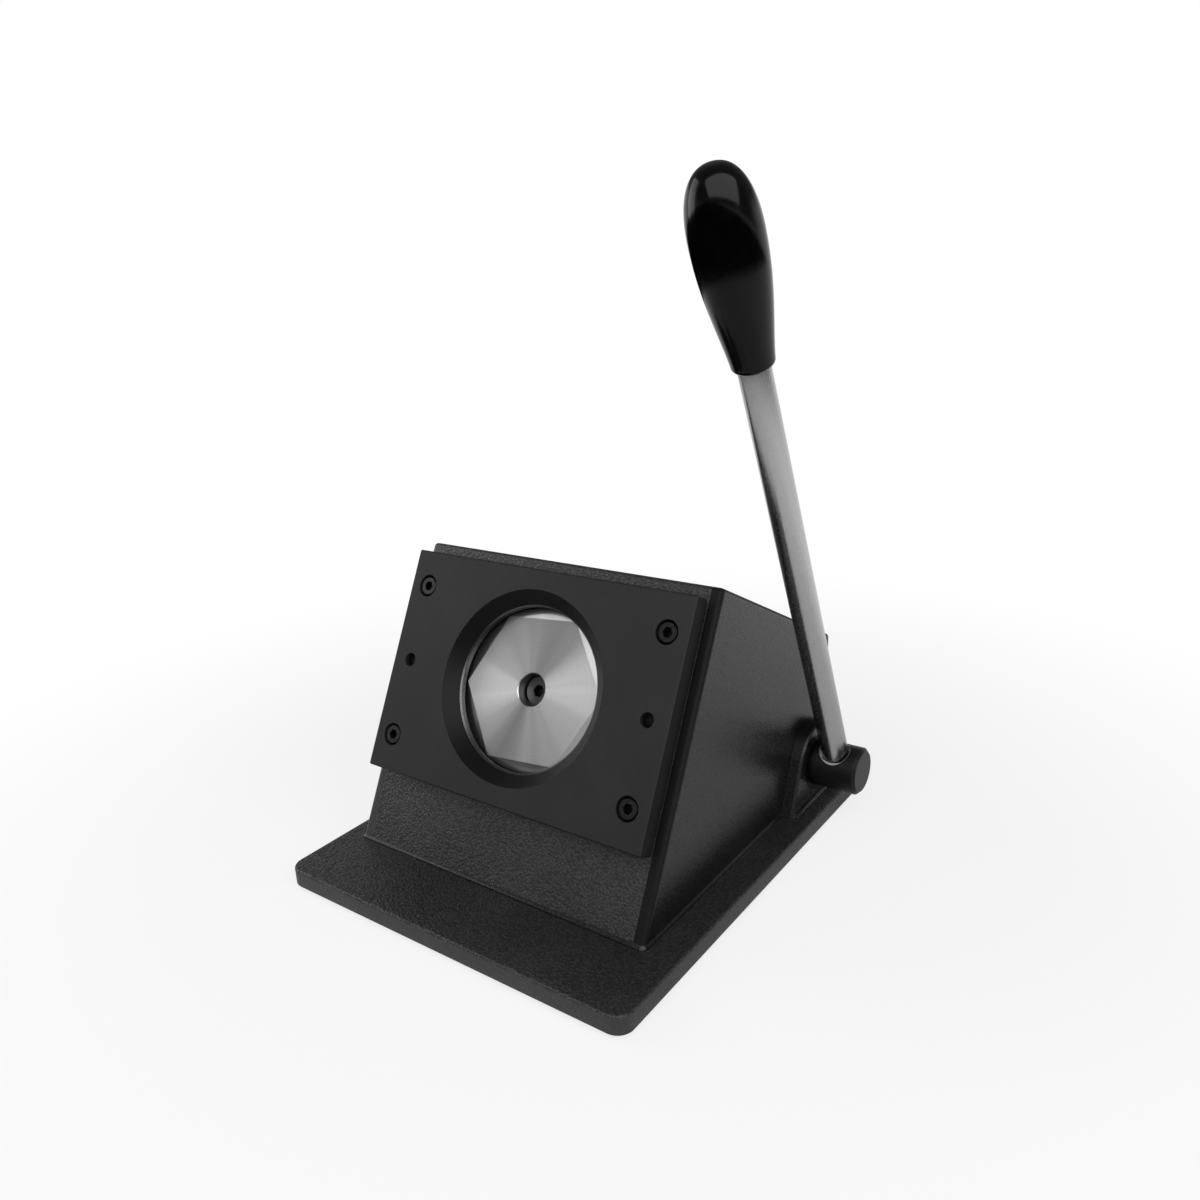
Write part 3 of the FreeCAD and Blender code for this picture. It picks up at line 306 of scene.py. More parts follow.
@dataclass(frozen=True)
class EndZone(Zone):
    """Faces at the far end of a node in one direction: point . way is at least the end's."""

    way: tuple[float, float, float]
    end: float

    def share(self, tree: Tree) -> Socket:
        """Fade in over the last little way to the end."""
        return self.fade(tree, ZONE_SOFT_MM, 0.5 * ZONE_SOFT_MM)

    def fade(self, tree: Tree, none_mm: float, full_mm: float) -> Socket:
        """Fade along the way, between two depths below the end.

        Args:
            tree: node tree of the material.
            none_mm: depth where the zone does not show.
            full_mm: depth where it shows fully.

        Returns:
            The zone's share.
        """
        here = add_node(tree, "ShaderNodeTexCoord", {}).outputs["Object"]
        along = add_node(tree, "ShaderNodeVectorMath", {0: here, 1: self.way}, operation="DOT_PRODUCT")
        return add_node(tree, "ShaderNodeMapRange", {
            "Value": along.outputs["Value"],
            "From Min": self.end - none_mm * MM, "From Max": self.end - full_mm * MM,
        }).outputs["Result"]


@dataclass(frozen=True)
class RimZone(EndZone):
    """All that lies back from the flat face at the end: the rounded rims of a plate and its edges."""

    def share(self, tree: Tree) -> Socket:
        """Fade in just behind the flat face."""
        return self.fade(tree, 0.25 * ZONE_SOFT_MM, ZONE_SOFT_MM)


@dataclass(frozen=True)
class Finish:
    """A surface finish, which makes its material once and hands it out."""

    name: str

    def paint(self, tree: Tree, shader: Node) -> None:
        """Wire the finish's own pattern into the shader."""
        raise NotImplementedError

    def material(self) -> Material:
        """Return the finish's material, made on first use."""
        made = bpy.data.materials.get(self.name)
        if made is None:
            made, shader = fresh_material(self.name)
            self.paint(made.node_tree, shader)
        return made

    def zoned(self, name: str, *zones: Zone) -> Material:
        """Return a copy of the finish's material with second finishes in zones.

        Args:
            name: name of the new material.
            zones: where the second finishes show, and what they are.
        """
        made = self.material().copy()
        made.name = name
        for zone in zones:
            zone.lay_over(made.node_tree, made.node_tree.nodes["Principled BSDF"])
        return made

    @staticmethod
    def tone(
        tree: Tree,
        pattern: Socket,
        levels: tuple[float, float],
        colours: tuple[str, str],
        curve: str = "LINEAR",
    ) -> Socket:
        """Go from one colour to another as a pattern rises between two levels.

        Args:
            tree: node tree of the material.
            pattern: output that carries the pattern.
            levels: the pattern's level at the first and at the second colour.
            colours: both colours.
            curve: how the change runs between them.

        Returns:
            The output that carries the colour.
        """
        share = add_node(tree, "ShaderNodeMapRange", {
            "Value": pattern, "From Min": levels[0], "From Max": levels[1],
        }, interpolation_type=curve)
        return add_node(tree, "ShaderNodeMix", {
            "Factor": share.outputs["Result"], 6: linear(colours[0]), 7: linear(colours[1]),
        }, data_type="RGBA").outputs[2]

    def on_node(self, *nodes: str) -> None:
        """Dress nodes of the frame in this finish."""
        for node in nodes:
            wear(node, self.material())

    def on_piece(self, piece: Piece) -> None:
        """Dress a new piece in this finish."""
        piece.data.materials.clear()
        piece.data.materials.append(self.material())


@dataclass(frozen=True)
class PowderCoat(Finish):
    """Baked polyester powder coat on steel.

    Cells of melted powder shrink as they cure, so the coat has a leathery grain of low rounded
    bumps with narrow creases. It is smoother on sawn edges, and rounds sharp ones so that they
    catch the light. Its sheen is broad and dim, and its tone a little paler where it is rubbed.
    """

    colour: str
    rubbed: str
    grain_mm: float
    depth_mm: float
    roughness: float
    specular: float
    crease: float
    edge_mm: float = 0.7
    cloud_mm: float = 42.0
    plain_share: float = 0.75

    def paint(self, tree: Tree, shader: Node) -> None:
        """Grain from warped cells, clouds of rubbed coat, and softly rounded edges."""
        place = add_node(tree, "ShaderNodeTexCoord", {}).outputs["Object"]
        warp = add_node(tree, "ShaderNodeTexNoise", {
            "Vector": place, "Scale": per_metre(WARP_WIDTH * self.grain_mm), "Detail": 2.0,
        })
        warped = add_node(tree, "ShaderNodeVectorMath", {
            0: warp.outputs["Color"], 1: (self.grain_mm * MM,) * 3, 2: place,
        }, operation="MULTIPLY_ADD")
        cells = add_node(tree, "ShaderNodeTexVoronoi", {
            "Vector": warped.outputs["Vector"], "Scale": per_metre(self.grain_mm), "Smoothness": 0.35,
        }, feature="SMOOTH_F1")
        fine = add_node(tree, "ShaderNodeTexNoise", {
            "Vector": place, "Scale": per_metre(FINE_WIDTH * self.grain_mm), "Detail": 3.0,
        })
        grain = add_node(tree, "ShaderNodeMath", {
            0: fine.outputs["Fac"], 1: FINE_SHARE, 2: cells.outputs["Distance"],
        }, operation="MULTIPLY_ADD")
        plain = add_node(tree, "ShaderNodeAttribute", {}, attribute_name=PLAIN).outputs["Fac"]
        smooth = add_node(tree, "ShaderNodeMapRange", {"Value": plain, "To Max": self.plain_share})
        height = add_node(tree, "ShaderNodeMix", {
            "Factor": smooth.outputs["Result"], 2: grain.outputs[0], 3: GRAIN_MEAN,
        }, data_type="FLOAT")
        edges = add_node(tree, "ShaderNodeBevel", {"Radius": self.edge_mm * MM}, samples=EDGE_SAMPLES)
        bump = add_node(tree, "ShaderNodeBump", {
            "Strength": 1.0, "Distance": self.depth_mm * MM, "Height": height.outputs[0],
            "Normal": edges.outputs["Normal"],
        }, invert=True)
        clouds = add_node(tree, "ShaderNodeTexNoise", {
            "Vector": place, "Scale": per_metre(self.cloud_mm), "Detail": 5.0, "Roughness": 0.6,
        })
        colour = self.tone(
            tree, clouds.outputs["Fac"], CLOUD_SPAN, (self.colour, self.rubbed), "SMOOTHSTEP"
        )
        # Creases of the grain are darker in tone and gloss: partly dust, partly painted shade
        dust_and_shade = add_node(tree, "ShaderNodeMapRange", {
            "Value": height.outputs[0], "From Min": GRAIN_LOW, "From Max": GRAIN_HIGH,
            "To Min": 1 + self.crease, "To Max": 1 - self.crease,
        })
        grained = add_node(tree, "ShaderNodeVectorMath", {
            0: colour, "Scale": dust_and_shade.outputs["Result"],
        }, operation="SCALE")
        sheen = add_node(tree, "ShaderNodeMath", {
            0: dust_and_shade.outputs["Result"], 1: self.specular,
        }, operation="MULTIPLY")
        dull = add_node(tree, "ShaderNodeMapRange", {
            "Value": fine.outputs["Fac"], "From Min": NOISE_SPAN[0], "From Max": NOISE_SPAN[1],
            "To Min": self.roughness - POLISH_SPREAD, "To Max": self.roughness + POLISH_SPREAD,
        })
        # An export that drops the link of the gloss keeps this plain value of it
        fill(tree, shader, {"Specular IOR Level": self.specular, "IOR": PLASTIC_IOR})
        fill(tree, shader, {
            "Base Color": grained.outputs["Vector"], "Roughness": dull.outputs["Result"],
            "Normal": bump.outputs["Normal"], "Specular IOR Level": sheen.outputs[0],
        })


@dataclass(frozen=True)
class WorkedMetal(Finish):
    """Bare, oiled, blackened or plated metal with the fine marks of its making.

    Noise drawn out along the way of the tool changes the polish and the tone slightly, so that
    a highlight breaks up into hair lines instead of sliding over a perfect mirror. Sockets and
    narrow gaps get painted shade, which darkens their tone and takes the gleam away there.
    """

    colour: str
    marked: str
    roughness: float
    mark_mm: float
    depth_mm: float = 0.004
    metallic: float = 1.0
    grain: Grain = Grain.EVEN
    edge_mm: float = 0.15
    specular: float = 0.5
    painted_shade_mm: float = 3.0

    def paint(self, tree: Tree, shader: Node) -> None:
        """Drawn-out noise in tone, polish and height, with broken edges and painted shade in crevices."""
        place = add_node(tree, "ShaderNodeTexCoord", {}).outputs["Object"]
        drawn = add_node(tree, "ShaderNodeMapping", {"Vector": place, "Scale": self.grain.value})
        marks = add_node(tree, "ShaderNodeTexNoise", {
            "Vector": drawn.outputs["Vector"], "Scale": per_metre(self.mark_mm), "Detail": 6.0,
            "Roughness": 0.65,
        })
        colour = self.tone(tree, marks.outputs["Fac"], MARK_SPAN, (self.colour, self.marked))
        dull = add_node(tree, "ShaderNodeMapRange", {
            "Value": marks.outputs["Fac"], "From Min": NOISE_SPAN[0], "From Max": NOISE_SPAN[1],
            "To Min": (1 - MARK_SHARE) * self.roughness, "To Max": (1 + MARK_SHARE) * self.roughness,
        })
        edges = add_node(tree, "ShaderNodeBevel", {"Radius": self.edge_mm * MM}, samples=EDGE_SAMPLES)
        bump = add_node(tree, "ShaderNodeBump", {
            "Strength": 1.0, "Distance": self.depth_mm * MM, "Height": marks.outputs["Fac"],
            "Normal": edges.outputs["Normal"],
        })
        # Painted shade: an occlusion test darkens the tone and the gleam in sockets and narrow gaps
        painted_shade = add_node(tree, "ShaderNodeAmbientOcclusion", {
            "Color": colour, "Distance": self.painted_shade_mm * MM,
        }, samples=PAINTED_SHADE_SAMPLES)
        gleam = add_node(tree, "ShaderNodeMapRange", {
            "Value": painted_shade.outputs["AO"], "From Min": PAINTED_SHADE_OPENNESS, "To Max": self.specular,
        })
        # An export that drops the link of the gloss keeps this plain value of it
        fill(tree, shader, {"Specular IOR Level": self.specular, "Metallic": self.metallic})
        fill(tree, shader, {
            "Base Color": painted_shade.outputs["Color"], "Roughness": dull.outputs["Result"],
            "Normal": bump.outputs["Normal"], "Specular IOR Level": gleam.outputs["Result"],
        })


@dataclass(frozen=True)
class FacedSteel(Finish):
    """Tool steel faced on a lathe.

    The tool leaves rings finer than the eye can part, so light spreads across them and stands as
    bright fans on the disc. The rings are drawn as coarse as one pixel of a close view. Flats and
    bores that are milled afterwards have no rings and mirror more sharply. The piece's UV map runs
    round the disc in U and outwards in V, in metres, and an attribute marks its milled faces.
    """

    colour: str
    ring: str
    roughness: float
    anisotropy: float
    ring_mm: float
    painted_fan_share: float
    milled_roughness: float

    def paint(self, tree: Tree, shader: Node) -> None:
        """Rings in tone along V, faint painted fans of reflection in tone along U, and a gleam drawn out
        across the rings.
        """
        across = add_node(tree, "ShaderNodeUVMap", {}, uv_map=PUNCH_UV)
        split = add_node(tree, "ShaderNodeSeparateXYZ", {0: across.outputs["UV"]})
        rings = add_node(tree, "ShaderNodeTexNoise", {
            "W": split.outputs["Y"], "Scale": per_metre(self.ring_mm), "Detail": 3.0, "Roughness": 0.7,
        }, noise_dimensions="1D")
        turn = add_node(tree, "ShaderNodeMath", {
            0: split.outputs["X"], 1: 2 * math.pi,
        }, operation="MULTIPLY")
        cosine = add_node(tree, "ShaderNodeMath", {0: turn.outputs[0]}, operation="COSINE")
        sine = add_node(tree, "ShaderNodeMath", {0: turn.outputs[0]}, operation="SINE")
        circle = add_node(tree, "ShaderNodeCombineXYZ", {0: cosine.outputs[0], 1: sine.outputs[0]})
        # Painted reflection: broad light and dark fans round the disc, laid into the tone
        fans = add_node(tree, "ShaderNodeTexNoise", {
            "Vector": circle.outputs[0], "Scale": PAINTED_FAN_SCALE, "Detail": 1.5,
        })
        both = add_node(tree, "ShaderNodeMix", {
            "Factor": self.painted_fan_share, 2: rings.outputs["Fac"], 3: fans.outputs["Fac"],
        }, data_type="FLOAT")
        colour = self.tone(tree, both.outputs[0], NOISE_SPAN, (self.ring, self.colour))
        tangent = add_node(tree, "ShaderNodeTangent", {}, direction_type="UV_MAP", uv_map=PUNCH_UV)
        milled = add_node(tree, "ShaderNodeAttribute", {}, attribute_name=PLAIN).outputs["Fac"]
        dull = add_node(tree, "ShaderNodeMapRange", {
            "Value": milled, "To Min": self.roughness, "To Max": self.milled_roughness,
        })
        drawn = add_node(tree, "ShaderNodeMapRange", {
            "Value": milled, "To Min": self.anisotropy, "To Max": 0.0,
        })
        fill(tree, shader, {
            "Base Color": colour, "Roughness": dull.outputs["Result"], "Metallic": 1.0,
            "Tangent": tangent.outputs["Tangent"], "Anisotropic": drawn.outputs["Result"],
            "Anisotropic Rotation": ACROSS_RINGS,
        })


@dataclass(frozen=True)
class MouldedPlastic(Finish):
    """Phenolic or ABS plastic from a polished mould.

    The skin is a deep black gloss with a faint waviness from shrinking, fine dust and handling
    haze, so that reflected lamps have soft uneven borders.
    """

    colour: str
    haze: str
    roughness: float
    specular: float
    wave_mm: float
    depth_mm: float

    def paint(self, tree: Tree, shader: Node) -> None:
        """Low waves in the skin, and haze in its tone and polish."""
        place = add_node(tree, "ShaderNodeTexCoord", {}).outputs["Object"]
        waves = add_node(tree, "ShaderNodeTexNoise", {
            "Vector": place, "Scale": per_metre(self.wave_mm), "Detail": 2.0,
        })
        haze = add_node(tree, "ShaderNodeTexNoise", {
            "Vector": place, "Scale": per_metre(0.5 * self.wave_mm), "Detail": 6.0, "Roughness": 0.7,
        })
        colour = self.tone(tree, haze.outputs["Fac"], HAZE_TONE_SPAN, (self.colour, self.haze))
        dull = add_node(tree, "ShaderNodeMapRange", {
            "Value": haze.outputs["Fac"],
            "From Min": HAZE_POLISH_SPAN[0], "From Max": HAZE_POLISH_SPAN[1],
            "To Min": self.roughness, "To Max": HAZE_DULLS * self.roughness,
        })
        bump = add_node(tree, "ShaderNodeBump", {
            "Strength": 1.0, "Distance": self.depth_mm * MM, "Height": waves.outputs["Fac"],
        })
        fill(tree, shader, {
            "Base Color": colour, "Roughness": dull.outputs["Result"], "Normal": bump.outputs["Normal"],
            "IOR": PLASTIC_IOR, "Specular IOR Level": self.specular,
        })


# Leathery black powder coat of the base and rear cover
TEXTURED_COAT = PowderCoat(
    "leather_grain_powder_coat", "#1b1b1b", "#252525",
    grain_mm=1.1, depth_mm=0.26, roughness=0.42, specular=0.48, crease=0.25,
)
# The same coat laid a little thinner on the front and top, so its grain is lower
PANEL_COAT = PowderCoat(
    "low_grain_powder_coat", "#1a1a1a", "#242424",
    grain_mm=1.0, depth_mm=0.21, roughness=0.42, specular=0.49, crease=0.22,
)
# The same coat sprayed thinnest on side plates and pedestals, with the finest grain and most gloss
SATIN_COAT = PowderCoat(
    "fine_grain_powder_coat", "#0d0d0d", "#131313",
    grain_mm=0.8, depth_mm=0.07, roughness=0.26, specular=0.36, crease=0.15,
)
# Hard matt black of the die plate, nearly without grain
MATT_COAT = PowderCoat(
    "matt_black_die_coat", "#161616", "#1b1b1b",
    grain_mm=0.5, depth_mm=0.012, roughness=0.58, specular=0.28, crease=0.05, edge_mm=0.4, cloud_mm=30.0,
)
# Black oxide on screws, a thin conversion skin with some sheen
BLACK_OXIDE = WorkedMetal(
    "black_oxide_steel", "#0c0c0c", "#181818",
    roughness=0.3, mark_mm=1.2, metallic=0.2, specular=0.5,
)
# Oiled black shaft and pins, ground along X
BLACK_SHAFT = WorkedMetal(
    "black_oiled_shaft", "#0c0c0c", "#131313",
    roughness=0.42, mark_mm=0.7, metallic=0.05, grain=Grain.ALONG_X, specular=0.17,
)
# Bright zinc plate on a drawn rod, with marks along it
PLATED_ROD = WorkedMetal(
    "bright_zinc_plate", "#acacac", "#b6b6b6",
    roughness=0.24, mark_mm=0.5, depth_mm=0.002, grain=Grain.ALONG_Z,
)
# Ground tool steel of the cutting ring, left dark by its hardening
GROUND_STEEL = WorkedMetal("ground_tool_steel", "#484848", "#626262", roughness=0.3, mark_mm=0.4)
# Punch face straight from the lathe
FACED_STEEL = FacedSteel(
    "lathe_faced_steel", "#c4c4c4", "#a0a0a0",
    roughness=0.48, anisotropy=0.7, ring_mm=0.5, painted_fan_share=0.75, milled_roughness=0.3,
)
# Gloss black moulding of the grip, which mirrors lamps but little else
GLOSS_GRIP = MouldedPlastic(
    "gloss_black_moulding", "#020202", "#050505",
    roughness=0.13, specular=0.17, wave_mm=9.0, depth_mm=0.02,
)
# Soft black sheet that the base stands on
PAD_RUBBER = PowderCoat(
    "black_sheet_rubber", "#141414", "#1c1c1c",
    grain_mm=0.6, depth_mm=0.03, roughness=0.75, specular=0.3, crease=0.1,
)
# Oiled steel of the works inside
PLAIN_STEEL = WorkedMetal("oiled_mill_steel", "#6d6d6d", "#898989", roughness=0.38, mark_mm=1.5)
# Oil-soaked sintered bearing metal, almost black where it shows
BEARING_METAL = WorkedMetal("oil_soaked_bearing_metal", "#1d1a16", "#2a251f", roughness=0.45, mark_mm=0.5)
# Drawn wire of the return spring
SPRING_WIRE = WorkedMetal("drawn_spring_wire", "#5d5d5d", "#7b7b7b", roughness=0.3, mark_mm=0.5)


def node_points(node: str) -> Array:
    """Vertices of a node of the frame, in metres."""
    vertices = frame["nodes"][node].data.vertices
    flat = np.empty(3 * len(vertices), dtype=np.float32)
    vertices.foreach_get("co", flat)
    return flat.reshape(-1, 3).astype(float)


def reach(node: str, direction: Array) -> tuple[float, float]:
    """Least and greatest distance of a node along a direction, in metres from the origin."""
    along = node_points(node) @ direction
    return float(along.min()), float(along.max())


def box_mm(node: str) -> tuple[Array, Array]:
    """Lowest and highest corner of a node at rest, in millimetres."""
    low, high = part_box(node)
    return np.array(low) / MM, np.array(high) / MM


def joint(name: str) -> dict[str, Any]:
    """A joint of the frame by its name."""
    return next(item for item in frame["joints"] if item["name"] == name)


@dataclass(frozen=True)
class Axes:
    """A right-handed drawing frame: an origin in metres and three unit directions."""

    origin: Array
    across: Array
    up: Array
    out: Array

    def place(self, u: Array, v: Array, n: Array) -> Array:
        """Points at u across, v up and n out.

        Args:
            u: distances across, in millimetres.
            v: distances up, in millimetres.
            n: distances out, in millimetres.

        Returns:
            Points in metres, with x, y and z on the last axis.
        """
        u, v, n = np.broadcast_arrays(u, v, n)
        way = u[..., None] * self.across + v[..., None] * self.up + n[..., None] * self.out
        return self.origin + MM * way

    def span(self, node: str) -> tuple[float, float]:
        """Least and greatest distance of a node along out from the origin, in millimetres."""
        start = self.origin @ self.out
        low, high = reach(node, self.out)
        return (low - start) / MM, (high - start) / MM

    def half_width(self, node: str) -> float:
        """Half of a node's width across, in millimetres."""
        low, high = reach(node, self.across)
        return (high - low) / 2 / MM


def press_axes() -> Axes:
    """Drawing frame of the press: its origin is where the punch axis meets the housing front.

    The punch slides along out, and up runs up the sloping front.
    """
    out = np.array(joint("ram_slide")["axis"], dtype=float)
    out /= np.linalg.norm(out)
    up = np.cross(out, ACROSS)
    middle_u = sum(reach("die_ring", ACROSS)) / 2
    middle_v = sum(reach("die_ring", up)) / 2
    face_n = reach("front_panel", out)[1]
    return Axes(middle_u * ACROSS + middle_v * up + face_n * out, ACROSS, up, out)


def lever_axes() -> Axes:
    """Drawing frame of the lever: out runs up the rod from the shaft's axis."""
    low, high = (np.array(corner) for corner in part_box("lever_rod"))
    middle = (low + high) / 2
    pivot = np.array(joint("lever_turn")["pos_m"], dtype=float)
    pivot[0] = middle[0]
    out = (middle - pivot) / np.linalg.norm(middle - pivot)
    return Axes(pivot, ACROSS, np.cross(out, ACROSS), out)


def rounded(points: Array, radii: Array, steps: int = 6) -> Array:
    """Open outline with its inner corners turned into arcs.

    Each corner's arc touches both legs at radius / tan(half the corner) and turns about a centre
    on the corner's bisector. Points on it are a spherical blend of the arc's two end spokes.

    Args:
        points: corners of the outline, one row each.
        radii: radius at each corner between the first and the last.
        steps: points on each arc.

    Returns:
        Points of the rounded outline, one row each.
    """
    corner = points[1:-1]
    back = points[:-2] - corner
    ahead = points[2:] - corner
    back = back / np.linalg.norm(back, axis=1, keepdims=True)
    ahead = ahead / np.linalg.norm(ahead, axis=1, keepdims=True)
    half = np.arccos(np.clip((back * ahead).sum(axis=1), -1, 1)) / 2
    leg = (radii / np.tan(half))[:, None]
    middle = back + ahead
    middle = middle / np.linalg.norm(middle, axis=1, keepdims=True)
    centre = corner + middle * (radii / np.sin(half))[:, None]
    sweep = (np.pi - 2 * half)[:, None, None]
    share = np.linspace(0, 1, steps)[None, :, None]
    first = (corner + back * leg - centre)[:, None, :]
    last = (corner + ahead * leg - centre)[:, None, :]
    spokes = (np.sin((1 - share) * sweep) * first + np.sin(share * sweep) * last) / np.sin(sweep)
    arcs = (centre[:, None, :] + spokes).reshape(-1, 2)
    return np.vstack([points[:1], arcs, points[-1:]])


def rounded_rectangle(half: Array, radius: float, inset: Array, steps: int = 12) -> tuple[Array, Array]:
    """Rounded rectangle about the origin, once for each inset.

    Quarter circles stand at the four corners: corner centre + (radius - inset) * (cos, sin).

    Args:
        half: half width and half depth.
        radius: corner radius at no inset.
        inset: how far each copy lies inside the outline.
        steps: points on each quarter circle.

    Returns:
        Points with one row per inset, and the outward direction of each column.
    """
    quarter = np.repeat(np.arange(4), steps)
    turn = (quarter + np.tile(np.linspace(0, 1, steps), 4)) * np.pi / 2
    way = np.stack([np.cos(turn), np.sin(turn)], axis=1)
    signs = np.array([[1, 1], [-1, 1], [-1, -1], [1, -1]])[quarter]
    centres = signs * (np.asarray(half) - radius)
    return centres[None] + (radius - np.asarray(inset))[:, None, None] * way[None], way


def grid_faces(rows: int, columns: int, wrap_rows: bool = False, wrap_columns: bool = True) -> Array:
    """Quads of a grid of points numbered row by row.

    Args:
        rows: points along the first parameter.
        columns: points along the second parameter.
        wrap_rows: join the last row to the first.
        wrap_columns: join the last column to the first.

    Returns:
        Four point numbers per face.
    """
    row = np.arange(rows if wrap_rows else rows - 1)[:, None]
    column = np.arange(columns if wrap_columns else columns - 1)[None, :]
    next_row = (row + 1) % rows
    next_column = (column + 1) % columns
    corners = [
        row * columns + column,
        row * columns + next_column,
        next_row * columns + next_column,
        next_row * columns + column,
    ]
    return np.stack(np.broadcast_arrays(*corners), axis=-1).reshape(-1, 4)


def end_caps(rows: int, columns: int) -> list[list[int]]:
    """Two faces that close the first and the last row of a grid of points."""
    return [list(range(columns)), list(range((rows - 1) * columns, rows * columns))]


def make_piece(
    name: str,
    points: Array,
    faces: list[list[int]],
    body: Body,
    uv: Optional[Array] = None,
    crease_deg: float = 32.0,
) -> Piece:
    """Make a closed piece from points and faces, weld its poles and let it ride on a body.

    Args:
        name: name of the piece.
        points: points in metres, on any grid.
        faces: point numbers of each face.
        body: body that carries the piece.
        uv: one UV pair per face corner, in the order of the faces.
        crease_deg: edges that turn by more than this stay sharp.

    Returns:
        The new object, at the origin with its place in its mesh.
    """
    mesh = bpy.data.meshes.new(name)
    mesh.from_pydata(points.reshape(-1, 3).tolist(), [], faces)
    if uv is not None:
        layer = mesh.uv_layers.new(name=PUNCH_UV)
        layer.data.foreach_set("uv", np.ascontiguousarray(uv, dtype=np.float32).ravel())
    work = bmesh.new()
    work.from_mesh(mesh)
    bmesh.ops.remove_doubles(work, verts=work.verts[:], dist=WELD_DISTANCE_M)
    bmesh.ops.recalc_face_normals(work, faces=work.faces[:])
    work.to_mesh(mesh)
    work.free()
    mesh.shade_smooth()
    mesh.set_sharp_from_angle(angle=math.radians(crease_deg))
    piece = into_scene(name, mesh)
    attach(piece, body.value)
    log.info("piece %s: %d faces on %s", name, len(mesh.polygons), body.value)
    return piece


def lathe(axes: Axes, profile: Array, columns: int) -> tuple[Array, list[list[int]]]:
    """Surface of revolution: (r cos a, r sin a, h) for each (r, h) of the profile.

    Args:
        axes: drawing frame whose out is the axis of the turned piece.
        profile: radius and height of each row, from the bottom pole to the top pole.
        columns: points round the axis.

    Returns:
        Points on the grid, and its faces.
    """
    turn = np.linspace(0, 2 * np.pi, columns, endpoint=False)[None, :]
    radius = profile[:, :1]
    points = axes.place(radius * np.cos(turn), radius * np.sin(turn), profile[:, 1:] + 0 * turn)
    return points, grid_faces(len(profile), columns).tolist()


@dataclass
class Base:
    """Heavy base plate with a rubber sheet under it."""

    corner_radius: float = 7.0
    top_edge: float = 1.0
    lower_edge: float = 0.6

    def build(self) -> None:
        """Make the plate with rounded rims, so that its edges catch the light."""
        low, high = box_mm("base_plate")
        half = (high - low)[:2] / 2
        deep = half.min()
        profile = rounded(
            np.array([[deep, low[2]], [0, low[2]], [0, high[2]], [deep, high[2]]]),
            np.array([self.lower_edge, self.top_edge]),
        )[1:-1]
        rim, _ = rounded_rectangle(half, self.corner_radius, profile[:, 0])
        rows, columns = rim.shape[:2]
        middle = (low + high)[:2] / 2
        heights = np.broadcast_to(profile[:, 1, None, None], (rows, columns, 1))
        points = MM * np.concatenate([rim + middle, heights], axis=2)
        caps = end_caps(rows, columns)
        quads = grid_faces(rows, columns)
        plate = make_piece("coated_base_plate", points, quads.tolist() + caps, Body.FRAME)
        sawn = (quads // columns).max(axis=1) <= rows // 2
        mark_plain(plate, np.append(sawn, [False] * len(caps)))
        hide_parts("base_plate")
        TEXTURED_COAT.on_piece(plate)

    def dress(self) -> None:
        """Dress the hidden pieces of the base."""
        PAD_RUBBER.on_node("base_pad")
        PLAIN_STEEL.on_node("anchor_blocks")
        BLACK_OXIDE.on_node("housing_screws")


